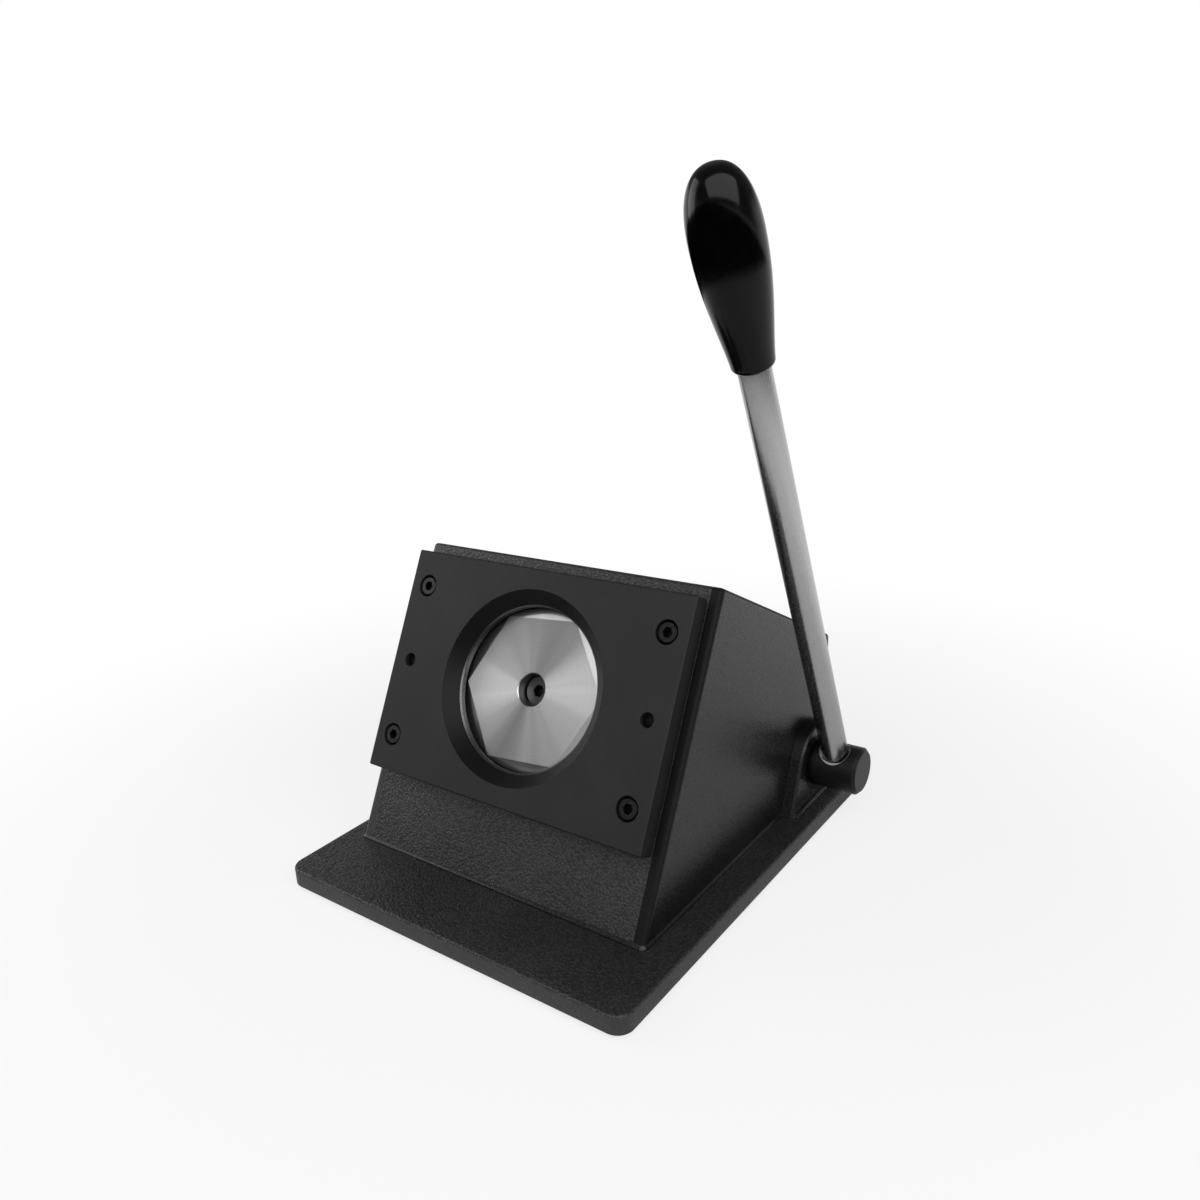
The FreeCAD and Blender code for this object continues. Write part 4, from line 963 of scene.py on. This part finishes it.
@dataclass
class Housing:
    """Box of coated plates, the bearing pedestals at its sides and the beads at their feet."""

    edge_radius: float = 2.0
    seam_leg: float = 1.3
    seam_sunk_share: float = 0.3
    seam_points: int = 9
    weld_leg: float = 2.4
    weld_pitch: float = 2.2
    weld_ripple: float = 0.07
    weld_end_gap: float = 1.0
    weld_sunk_share: float = 0.1
    weld_taper_power: int = 8
    weld_rows: int = 161
    weld_points: int = 11
    pedestal_top: float = 12.0

    def build_seam(self) -> None:
        """Make the cove of coat that fills the corner between housing and base.

        Its section is a hollow quarter circle, (leg (1 - sin a), leg (1 - cos a)), carried round
        the foot. On the sloping front it leans back with the wall.
        """
        left, _ = box_mm("left_side_plate")
        _, right = box_mm("right_side_plate")
        middle = (left + right)[:2] / 2
        half = (right - left)[:2] / 2
        out = press_axes().out
        lean = out[2] / -out[1]
        turn = np.linspace(0, np.pi / 2, self.seam_points)
        cove = self.seam_leg * np.stack([1 - np.sin(turn), 1 - np.cos(turn)], axis=1)
        sunk = self.seam_sunk_share * self.seam_leg
        section = np.vstack([cove, [[-sunk, self.seam_leg], [-sunk, 0.0]]])
        foot, way = rounded_rectangle(half, self.edge_radius, np.zeros(1))
        front = np.clip(-way[:, 1], 0, 1)
        offset = section[:, :1] - lean * section[:, 1:] * front[None]
        rim = foot + offset[..., None] * way[None] + middle
        rows, columns = rim.shape[:2]
        heights = np.broadcast_to((left[2] + section[:, 1])[:, None, None], (rows, columns, 1))
        points = MM * np.concatenate([rim, heights], axis=2)
        faces = grid_faces(rows, columns, wrap_rows=True).tolist()
        seam = make_piece("foot_seam", points, faces, Body.FRAME)
        SATIN_COAT.on_piece(seam)

    def build_weld(self, node: str, side: int) -> None:
        """Make the rippled weld bead along a pedestal's foot.

        The section is a quarter circle about the corner. Its radius ripples along the bead as
        leg (1 - ripple |sin|) and closes at both ends as (1 - share^power)^0.5.

        Args:
            node: pedestal that the bead holds.
            side: 1 on the lever's side, -1 on the other.
        """
        low, high = box_mm(node)
        face_x = (high[0] if side > 0 else low[0]) - side * self.cad_weld_leg(node)
        along = np.linspace(-1, 1, self.weld_rows)
        half = (high[1] - low[1]) / 2 - self.weld_end_gap
        ripple = 1 - self.weld_ripple * np.abs(np.sin(along * half * np.pi / self.weld_pitch))
        radius = self.weld_leg * ripple * (1 - along ** self.weld_taper_power) ** 0.5
        turn = np.linspace(0, np.pi / 2, self.weld_points)
        across = np.append(np.cos(turn), -self.weld_sunk_share)
        rise = np.append(np.sin(turn), -self.weld_sunk_share)
        x = face_x + side * radius[:, None] * across[None]
        y = (low[1] + high[1]) / 2 + half * along[:, None] + 0 * x
        z = low[2] + radius[:, None] * rise[None]
        points = MM * np.stack([x, y, z], axis=2)
        faces = grid_faces(len(along), len(across)).tolist()
        bead = make_piece(node + "_weld", points, faces, Body.FRAME, crease_deg=70.0)
        mark_plain(bead, np.ones(len(bead.data.polygons), dtype=bool))
        SATIN_COAT.on_piece(bead)

    def cad_weld_leg(self, node: str) -> float:
        """Leg of the plain weld in the frame: how far it stands out from the pedestal, in mm."""
        points = node_points(node) / MM
        outward = np.sign(points[:, 0].mean())
        reach_out = points[:, 0] * outward
        top = points[:, 2] > points[:, 2].max() - self.pedestal_top
        return float(reach_out.max() - reach_out[top].max())

    def build(self) -> None:
        """Make the beads at the feet of the housing and the pedestals."""
        self.build_seam()
        self.build_weld("right_pedestal", 1)
        self.build_weld("left_pedestal", -1)

    def dress(self) -> None:
        """Dress the plates, covers, pedestals and their small pieces.

        The rims of the left side plate took the full spray of the front. The rims of the right one
        are dull and almost unglossed: painted shade that keeps its rounded front edge dark.
        """
        PANEL_COAT.on_node("front_panel", "top_panel")
        TEXTURED_COAT.on_node("rear_cover")
        SATIN_COAT.on_node("right_pedestal", "left_pedestal")
        full = RimZone(
            "#1f1f1f", roughness=0.42, metallic=0.0, specular=0.49,
            way=tuple(-ACROSS), end=reach("left_side_plate", -ACROSS)[1],
        )
        wear("left_side_plate", SATIN_COAT.zoned("coat_with_full_rims", full))
        # Painted shade: the rims of the right side plate are made dull and almost unglossed
        dull = RimZone(
            "#0e0e0e", roughness=0.55, metallic=0.0, specular=0.12,
            way=tuple(ACROSS), end=reach("right_side_plate", ACROSS)[1],
        )
        wear("right_side_plate", SATIN_COAT.zoned("coat_with_painted_dark_rims", dull))
        BLACK_OXIDE.on_node("rear_cover_screws")
        PLAIN_STEEL.on_node("cover_lugs")
        BEARING_METAL.on_node("right_bush", "left_bush")


@dataclass
class Punch:
    """Faced steel punch with a raised six-sided face and a sunk screw."""

    sides: int = 6
    face_turn_deg: float = 5.0
    facet_drop: float = 1.0
    screw_bore: float = 14.0
    screw_sink: float = 10.4
    shank_bore: float = 8.5
    bore_edge: float = 0.35
    corner_land: float = 0.03
    face_rows: int = 14
    columns: int = 288

    def build(self, axes: Axes) -> None:
        """Make the punch as rows of closed rings from the shank bore round to its back.

        A ring's radius is a function of the turn. The face ends where r cos(turn - middle) is the
        distance of a side, and beyond that side the surface falls evenly to the rim.

        Args:
            axes: drawing frame of the press.
        """
        radius = axes.half_width("punch")
        low_n, high_n = axes.span("punch")
        turn = np.linspace(0, 2 * np.pi, self.columns, endpoint=False)
        step = 2 * np.pi / self.sides
        start = math.radians(self.face_turn_deg)
        off_middle = (turn - start) % step - step / 2
        flat = radius * math.cos(step / 2)
        side = np.minimum(flat / np.cos(off_middle), radius - self.corner_land)
        rim_n = high_n - self.facet_drop * (radius * np.cos(off_middle) - flat) / (radius - flat)
        same = np.ones_like(turn)
        bore = self.screw_bore / 2
        seat = high_n - self.screw_sink
        mouth = bore + self.bore_edge
        share = np.linspace(0, 1, self.face_rows)[:, None]
        face = mouth + (side - mouth)[None] * share
        shank = self.shank_bore / 2 * same
        bore_rows = [shank, bore * same, bore * same]
        radii = np.vstack([*bore_rows, face, radius * same, radius * same, shank])
        heights = np.vstack([
            seat * same, seat * same, (high_n - self.bore_edge) * same, high_n + 0 * face, rim_n,
            low_n * same, low_n * same,
        ])
        points = axes.place(radii * np.cos(turn), radii * np.sin(turn), heights)
        rows = len(radii)
        faces = grid_faces(rows, self.columns, wrap_rows=True)
        row = faces // self.columns
        column = faces % self.columns
        seam = (column == 0) & (column[:, :1] == self.columns - 1)
        uv = np.stack([column / self.columns + seam, radii[row, column] * MM], axis=-1)
        punch = make_piece(
            "faced_punch", points, faces.tolist(), Body.RAM, uv, crease_deg=12.0
        )
        face_start = len(bore_rows)
        milled = (row.min(axis=1) < face_start) | (row.max(axis=1) >= face_start + self.face_rows)
        mark_plain(punch, milled)
        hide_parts("punch")
        FACED_STEEL.on_piece(punch)

    def dress(self, axes: Axes) -> None:
        """Dress the punch's screw, whose face is painted lighter grey metal as a painted highlight.

        Args:
            axes: drawing frame of the press.
        """
        # Painted highlight: the screw's face is painted a lighter grey metal
        rubbed = EndZone(
            "#4c4c4c", roughness=0.3, metallic=0.6, specular=0.5,
            way=tuple(axes.out), end=reach("punch_screw", axes.out)[1],
        )
        wear("punch_screw", BLACK_OXIDE.zoned("black_screw_with_painted_light_face", rubbed))


@dataclass
class DieHead:
    """Die plate with its cutting ring, screws, dowels and what lies behind them."""

    cone_mouth: float = 41.3

    def dress(self, axes: Axes) -> None:
        """Dress the pieces of the die head.

        The plate's cone and sawn side are cut after coating and only blackened.

        Args:
            axes: drawing frame of the press.
        """
        cone = RoundZone(
            "#0b0b0b", roughness=0.4, metallic=0.0, specular=0.12,
            place=tuple(axes.origin), way=tuple(axes.out), radius_mm=self.cone_mouth,
        )
        sawn = EndZone(
            "#0b0b0b", roughness=0.5, metallic=0.0, specular=0.1,
            way=tuple(ACROSS), end=reach("die_plate", ACROSS)[1],
        )
        wear("die_plate", MATT_COAT.zoned("die_coat_with_blackened_cuts", cone, sawn))
        GROUND_STEEL.on_node("die_ring", "spacer_washers")
        BLACK_OXIDE.on_node("die_screws", "guide_sleeve_screws", "guide_screw")
        BLACK_SHAFT.on_node("dowel_pins")
        PLAIN_STEEL.on_node("backing_plate", "guide_sleeve")
        BEARING_METAL.on_node("guide_bush")


@dataclass
class Lever:
    """Plated rod with a pear-shaped grip, on the cross shaft."""

    neck_diameter: float = 15.7
    neck_round: float = 2.0
    dome_length: float = 25.5
    dome_power: float = 2.4
    swell_power: float = 1.2
    mould_shrink: float = 0.05
    rod_edge: float = 0.5
    hole_mouth: float = 6.9
    lip_share: float = 0.999
    swell_rows: int = 60
    dome_rows: int = 72
    grip_columns: int = 160
    rod_columns: int = 96

    def build(self, axes: Axes) -> None:
        """Make the grip and the rod.

        Args:
            axes: drawing frame of the lever.
        """
        self.build_grip(axes)
        self.build_rod(axes)

    def build_grip(self, axes: Axes) -> None:
        """Turn the grip's profile about the rod.

        From the neck the radius swells as a power of a sine. The dome is a rounded ellipse whose
        radius and height are cosine and sine to the power 2 / dome_power.

        Args:
            axes: drawing frame of the lever.
        """
        low, high = axes.span("grip")
        high -= self.mould_shrink
        widest = axes.half_width("grip") - self.mould_shrink
        neck = self.neck_diameter / 2
        lip = rounded(
            np.array([[0.0, low], [neck, low], [neck, low + self.neck_round]]),
            np.array([self.lip_share * self.neck_round]),
        )[:-1]
        swell_low = low + self.neck_round
        dome_low = high - self.dome_length
        share = np.linspace(0, 1, self.swell_rows, endpoint=False)
        swell = np.stack([
            neck + (widest - neck) * np.sin(share * np.pi / 2) ** self.swell_power,
            swell_low + (dome_low - swell_low) * share,
        ], axis=1)
        turn = np.linspace(0, np.pi / 2, self.dome_rows)
        power = 2 / self.dome_power
        dome = np.stack([
            widest * np.clip(np.cos(turn), 0, 1) ** power,
            dome_low + self.dome_length * np.sin(turn) ** power,
        ], axis=1)
        dome[-1, 0] = 0.0
        points, faces = lathe(axes, np.vstack([lip, swell, dome]), self.grip_columns)
        grip = make_piece("grip_moulding", points, faces, Body.LEVER, crease_deg=60.0)
        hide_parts("grip")
        GLOSS_GRIP.on_piece(grip)

    def build_rod(self, axes: Axes) -> None:
        """Turn the rod, with broken edges at both ends.

        The real side plate is too dull to show an image of the rod, so mirrors pass it by.

        Args:
            axes: drawing frame of the lever.
        """
        low, high = axes.span("lever_rod")
        radius = axes.half_width("lever_rod")
        profile = rounded(
            np.array([[0.0, low], [radius, low], [radius, high], [0.0, high]]),
            np.array([self.rod_edge, self.rod_edge]),
        )
        points, faces = lathe(axes, profile, self.rod_columns)
        rod = make_piece("plated_lever_rod", points, faces, Body.LEVER)
        rod.visible_glossy = False
        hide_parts("lever_rod")
        PLATED_ROD.on_piece(rod)

    def dress(self, axes: Axes) -> None:
        """Dress the shaft and what it carries.

        The shaft is bare at the mouth of the rod's hole. Its end face is painted a lighter grey, a painted
        highlight.

        Args:
            axes: drawing frame of the lever.
        """
        mouth = RoundZone(
            "#b8b8b8", roughness=0.25, metallic=1.0, specular=0.5,
            place=tuple(axes.origin), way=tuple(axes.out), radius_mm=self.hole_mouth,
        )
        # Painted highlight: the shaft's end face is painted a lighter grey
        end = EndZone(
            "#2a2a2a", roughness=0.42, metallic=0.0, specular=0.25,
            way=tuple(ACROSS), end=reach("main_shaft", ACROSS)[1],
        )
        wear("main_shaft", BLACK_SHAFT.zoned("black_shaft_with_bare_hole_and_painted_light_end", mouth, end))
        PLAIN_STEEL.on_node("cam", "cam_key", "shaft_collars")
        BLACK_OXIDE.on_node("set_screws")


@dataclass
class Drive:
    """Ram, roller and return spring inside the housing."""

    wire: float = 2.5
    end_gap: float = 0.5
    active_turns: int = 5
    points_per_turn: int = 36
    wire_columns: int = 14

    def build(self, axes: Axes) -> None:
        """Wind the return spring: a tube round a helix.

        A point of the helix is (R cos t, R sin t, h), where h climbs by a wire and a small gap in
        the first and the last turn and evenly between them. The tube's ring at that point lies
        along the radius and the helix's second normal.

        Args:
            axes: drawing frame of the press.
        """
        low, high = axes.span("return_spring")
        radius = axes.half_width("return_spring") - self.wire / 2
        start = low + self.wire / 2
        height = high - low - self.wire
        end_rise = self.wire + self.end_gap
        turns = self.active_turns + 2
        active_rise = (height - 2 * end_rise) / self.active_turns
        share = np.linspace(0, turns, turns * self.points_per_turn + 1)
        active = np.clip(share - 1, 0, self.active_turns)
        climb = start + active * active_rise + (share - active) * end_rise
        turn = 2 * np.pi * share
        spoke = np.stack([np.cos(turn), np.sin(turn), 0 * turn], axis=1)
        centre = radius * spoke + climb[:, None] * UPRIGHT
        tangent = np.gradient(centre, axis=0)
        tangent /= np.linalg.norm(tangent, axis=1, keepdims=True)
        second = np.cross(tangent, spoke)
        ring = np.linspace(0, 2 * np.pi, self.wire_columns, endpoint=False)
        tube = centre[:, None] + self.wire / 2 * (
            np.cos(ring)[None, :, None] * spoke[:, None] + np.sin(ring)[None, :, None] * second[:, None]
        )
        points = axes.place(tube[..., 0], tube[..., 1], tube[..., 2])
        rows, columns = tube.shape[:2]
        faces = grid_faces(rows, columns).tolist() + end_caps(rows, columns)
        spring = make_piece("wound_return_spring", points, faces, Body.RAM, crease_deg=60.0)
        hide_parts("return_spring")
        SPRING_WIRE.on_piece(spring)
        shoulder = axes.place(np.array(0.0), np.array(0.0), np.array(low))
        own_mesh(spring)

    def dress(self) -> None:
        """Dress the ram and its roller."""
        PLAIN_STEEL.on_node("ram", "roller_pin", "roller_pin_clips")
        GROUND_STEEL.on_node("cam_roller")


def columns_matrix(x_way: Array, y_way: Array, z_way: Array, place: Array) -> Matrix:
    """Object matrix from three directions and a place."""
    square = np.eye(4)
    square[:3, 0] = x_way
    square[:3, 1] = y_way
    square[:3, 2] = z_way
    square[:3, 3] = place
    return Matrix(square.tolist())


@dataclass(frozen=True)
class Softbox:
    """A rectangular soft lamp aimed at the middle of the object.

    Azimuth 0 stands in front of the object and 90 on the lever's side. Its sizes are in metres.
    """

    name: str
    azimuth_deg: float
    elevation_deg: float
    distance: float
    width: float
    height: float
    radiance: float

    def light(self, target: Array) -> None:
        """Make the lamp.

        Args:
            target: point in metres that the lamp faces.
        """
        azimuth = math.radians(self.azimuth_deg)
        elevation = math.radians(self.elevation_deg)
        away = np.array([
            math.sin(azimuth) * math.cos(elevation),
            -math.cos(azimuth) * math.cos(elevation),
            math.sin(elevation),
        ])
        side = np.cross(UPRIGHT, away)
        side /= np.linalg.norm(side)
        lamp = bpy.data.lights.new(self.name, "AREA")
        lamp.shape = "RECTANGLE"
        lamp.size = self.width
        lamp.size_y = self.height
        lamp.energy = self.radiance * math.pi * self.width * self.height
        holder = into_scene(self.name, lamp)
        holder.visible_camera = False
        place = target + self.distance * away
        holder.matrix_world = columns_matrix(side, np.cross(away, side), away, place)


@dataclass
class Studio:
    """Pale floor, soft lamps, surroundings and the camera.

    The camera's place is in millimetres. The floor and the cloth, which reach far, are in metres.
    """

    camera_place: tuple[float, float, float] = (255.02, -341.0, 256.38)
    yaw_deg: float = -37.85
    pitch_deg: float = -18.25
    roll_deg: float = -3.16
    lens_mm: float = 30.71
    sensor_mm: float = 36.0
    shift_x: float = 0.0279
    shift_y: float = 0.0002
    clip_near: float = 0.01
    clip_far: float = 100.0
    floor_colour: str = "#d8d8d8"
    floor_columns: int = 96
    floor_radius: float = 9.0
    near_share: float = 0.76
    fade_from: float = 0.16
    fade_to: float = 0.46
    world_level: float = 0.2
    horizon_band: float = 0.3
    backdrop_from: float = -0.15
    backdrop_to: float = 0.25
    cloth_colour: str = "#060606"
    cloth_columns: int = 129
    cloth_edge: float = -0.235
    cloth_bow: float = 1.1
    cloth_reach: float = 2.5
    cloth_lift: float = 0.0005
    softboxes: tuple[Softbox, ...] = (
        Softbox(
            "left_softbox", azimuth_deg=-71.0, elevation_deg=20.0, distance=1.0,
            width=0.64, height=0.8, radiance=2.5,
        ),
        Softbox(
            "right_softbox", azimuth_deg=43.0, elevation_deg=39.0, distance=1.2,
            width=2.5, height=1.2, radiance=2.75,
        ),
    )

    def build(self) -> None:
        """Make the floor, the lamps, the surroundings and the camera."""
        low, high = (np.array(corner) for corner in CAD_BOX)
        target = (low + high) / 2
        for softbox in self.softboxes:
            softbox.light(target)
        self.build_floor()
        self.build_cloth()
        self.build_world()
        self.build_camera()
        bpy.context.scene.view_settings.view_transform = "Standard"

    def build_floor(self) -> None:
        """Make a pale floor that fades to plain white far from the object."""
        turn = np.linspace(0, 2 * np.pi, self.floor_columns, endpoint=False)
        ring = self.floor_radius * np.stack([np.cos(turn), np.sin(turn), 0 * turn], axis=1)
        mesh = bpy.data.meshes.new("studio_floor")
        mesh.from_pydata(ring.tolist(), [], [list(range(len(ring)))])
        into_scene("studio_floor", mesh)
        paper, shader = fresh_material("pale_floor_paper")
        tree = paper.node_tree
        fill(tree, shader, {
            "Base Color": linear(self.floor_colour), "Roughness": 0.9, "Specular IOR Level": 0.0,
        })
        place = add_node(tree, "ShaderNodeTexCoord", {}).outputs["Object"]
        distance = add_node(tree, "ShaderNodeVectorMath", {0: place}, operation="LENGTH")
        far = add_node(tree, "ShaderNodeMapRange", {
            "Value": distance.outputs["Value"], "From Min": self.fade_from, "From Max": self.fade_to,
        }, interpolation_type="SMOOTHSTEP")
        camera = add_node(tree, "ShaderNodeLightPath", {}).outputs["Is Camera Ray"]
        near = add_node(tree, "ShaderNodeMath", {0: camera, 1: self.near_share}, operation="MULTIPLY")
        share = add_node(tree, "ShaderNodeMix", {
            "Factor": far.outputs["Result"], 2: near.outputs[0], 3: self.seen_rays(tree),
        }, data_type="FLOAT")
        white = add_node(tree, "ShaderNodeEmission", {"Color": WHITE, "Strength": 1.0})
        both = add_node(tree, "ShaderNodeMixShader", {
            0: share.outputs[0], 1: shader.outputs[0], 2: white.outputs[0],
        })
        tree.links.new(both.outputs[0], tree.nodes["Material Output"].inputs["Surface"])
        mesh.materials.append(paper)

    def build_cloth(self) -> None:
        """Lay a black cloth on the camera's side of the floor, which only mirrors can see.

        Its edge bows round the object: y = cloth_edge + cloth_bow (x - grip x)^2. The room behind
        a camera is dark, and the cloth keeps that part of the floor out of the gloss of the grip.
        """
        low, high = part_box("grip")
        middle = (low[0] + high[0]) / 2
        x = middle + self.cloth_reach * np.linspace(-1, 1, self.cloth_columns)
        edge = self.cloth_edge + self.cloth_bow * (x - middle) ** 2
        y = np.stack([edge, -self.floor_radius + 0 * x])
        points = np.stack([x + 0 * y, y, self.cloth_lift + 0 * y], axis=-1)
        mesh = bpy.data.meshes.new("black_cloth")
        faces = grid_faces(2, len(x), wrap_columns=False).tolist()
        mesh.from_pydata(points.reshape(-1, 3).tolist(), [], faces)
        cloth = into_scene("black_cloth", mesh)
        cloth.visible_camera = False
        cloth.visible_diffuse = False
        cloth.visible_shadow = False
        cloth.visible_transmission = False
        velvet, shader = fresh_material("black_velvet")
        fill(velvet.node_tree, shader, {
            "Base Color": linear(self.cloth_colour), "Roughness": 1.0, "Specular IOR Level": 0.0,
        })
        mesh.materials.append(velvet)

    @staticmethod
    def seen_rays(tree: Tree) -> Socket:
        """One for camera, glossy and transmission rays, so that metal shows the white surround."""
        path = add_node(tree, "ShaderNodeLightPath", {})
        mirrored = add_node(tree, "ShaderNodeMath", {
            0: path.outputs["Is Glossy Ray"], 1: path.outputs["Is Transmission Ray"],
        }, operation="MAXIMUM")
        seen = add_node(tree, "ShaderNodeMath", {
            0: path.outputs["Is Camera Ray"], 1: mirrored.outputs[0],
        }, operation="MAXIMUM")
        return seen.outputs[0]

    def build_world(self) -> None:
        """Make a white backdrop behind the object and a dim room above it and behind the camera.

        The camera sees white all round. Mirrors see it near the horizon on the far side only.
        """
        world = bpy.data.worlds.new("studio_surround")
        bpy.context.scene.world = world
        world.use_nodes = True
        tree = world.node_tree
        tree.nodes.clear()
        way = add_node(tree, "ShaderNodeTexCoord", {}).outputs["Generated"]
        rise = add_node(tree, "ShaderNodeSeparateXYZ", {0: way}).outputs["Z"]
        band = add_node(tree, "ShaderNodeMapRange", {
            "Value": rise, "From Min": self.horizon_band, "From Max": 0.5 * self.horizon_band,
        }, interpolation_type="SMOOTHSTEP")
        yaw = math.radians(self.yaw_deg)
        depth = add_node(tree, "ShaderNodeVectorMath", {
            0: way, 1: (math.sin(yaw), math.cos(yaw), 0.0),
        }, operation="DOT_PRODUCT")
        behind = add_node(tree, "ShaderNodeMapRange", {
            "Value": depth.outputs["Value"], "From Min": self.backdrop_from, "From Max": self.backdrop_to,
        }, interpolation_type="SMOOTHSTEP")
        backdrop = add_node(tree, "ShaderNodeMath", {
            0: band.outputs["Result"], 1: behind.outputs["Result"],
        }, operation="MULTIPLY")
        seen = self.seen_rays(tree)
        mirrored = add_node(tree, "ShaderNodeMath", {0: backdrop.outputs[0], 1: seen}, operation="MULTIPLY")
        camera = add_node(tree, "ShaderNodeLightPath", {}).outputs["Is Camera Ray"]
        share = add_node(tree, "ShaderNodeMath", {0: mirrored.outputs[0], 1: camera}, operation="MAXIMUM")
        dim = add_node(tree, "ShaderNodeBackground", {"Color": WHITE, "Strength": self.world_level})
        white = add_node(tree, "ShaderNodeBackground", {"Color": WHITE, "Strength": 1.0})
        both = add_node(tree, "ShaderNodeMixShader", {
            0: share.outputs[0], 1: dim.outputs[0], 2: white.outputs[0],
        })
        add_node(tree, "ShaderNodeOutputWorld", {"Surface": both.outputs[0]})

    def build_camera(self) -> None:
        """Make the camera at the photograph's viewing angle."""
        yaw, pitch, roll = (math.radians(angle) for angle in (self.yaw_deg, self.pitch_deg, self.roll_deg))
        ahead = np.array([
            math.sin(yaw) * math.cos(pitch), math.cos(yaw) * math.cos(pitch), math.sin(pitch),
        ])
        level = np.array([math.cos(yaw), -math.sin(yaw), 0.0])
        right = level * math.cos(roll) + np.cross(level, ahead) * math.sin(roll)
        lens = bpy.data.cameras.new("photo_camera")
        lens.lens = self.lens_mm
        lens.sensor_width = self.sensor_mm
        lens.shift_x = self.shift_x
        lens.shift_y = self.shift_y
        lens.clip_start = self.clip_near
        lens.clip_end = self.clip_far
        camera = into_scene("photo_camera", lens)
        place = MM * np.array(self.camera_place)
        camera.matrix_world = columns_matrix(right, np.cross(right, ahead), -ahead, place)
        bpy.context.scene.camera = camera


def main() -> None:
    """Build and dress every sub-assembly, and light it."""
    logging.basicConfig(level=logging.INFO, format="%(name)s: %(message)s")
    press = press_axes()
    base = Base()
    base.build()
    base.dress()
    housing = Housing()
    housing.build()
    housing.dress()
    punch = Punch()
    punch.build(press)
    punch.dress(press)
    DieHead().dress(press)
    lever = Lever()
    lever_frame = lever_axes()
    lever.build(lever_frame)
    lever.dress(lever_frame)
    drive = Drive()
    drive.build(press)
    drive.dress()
    Studio().build()


if __name__ == "__main__":
    main()
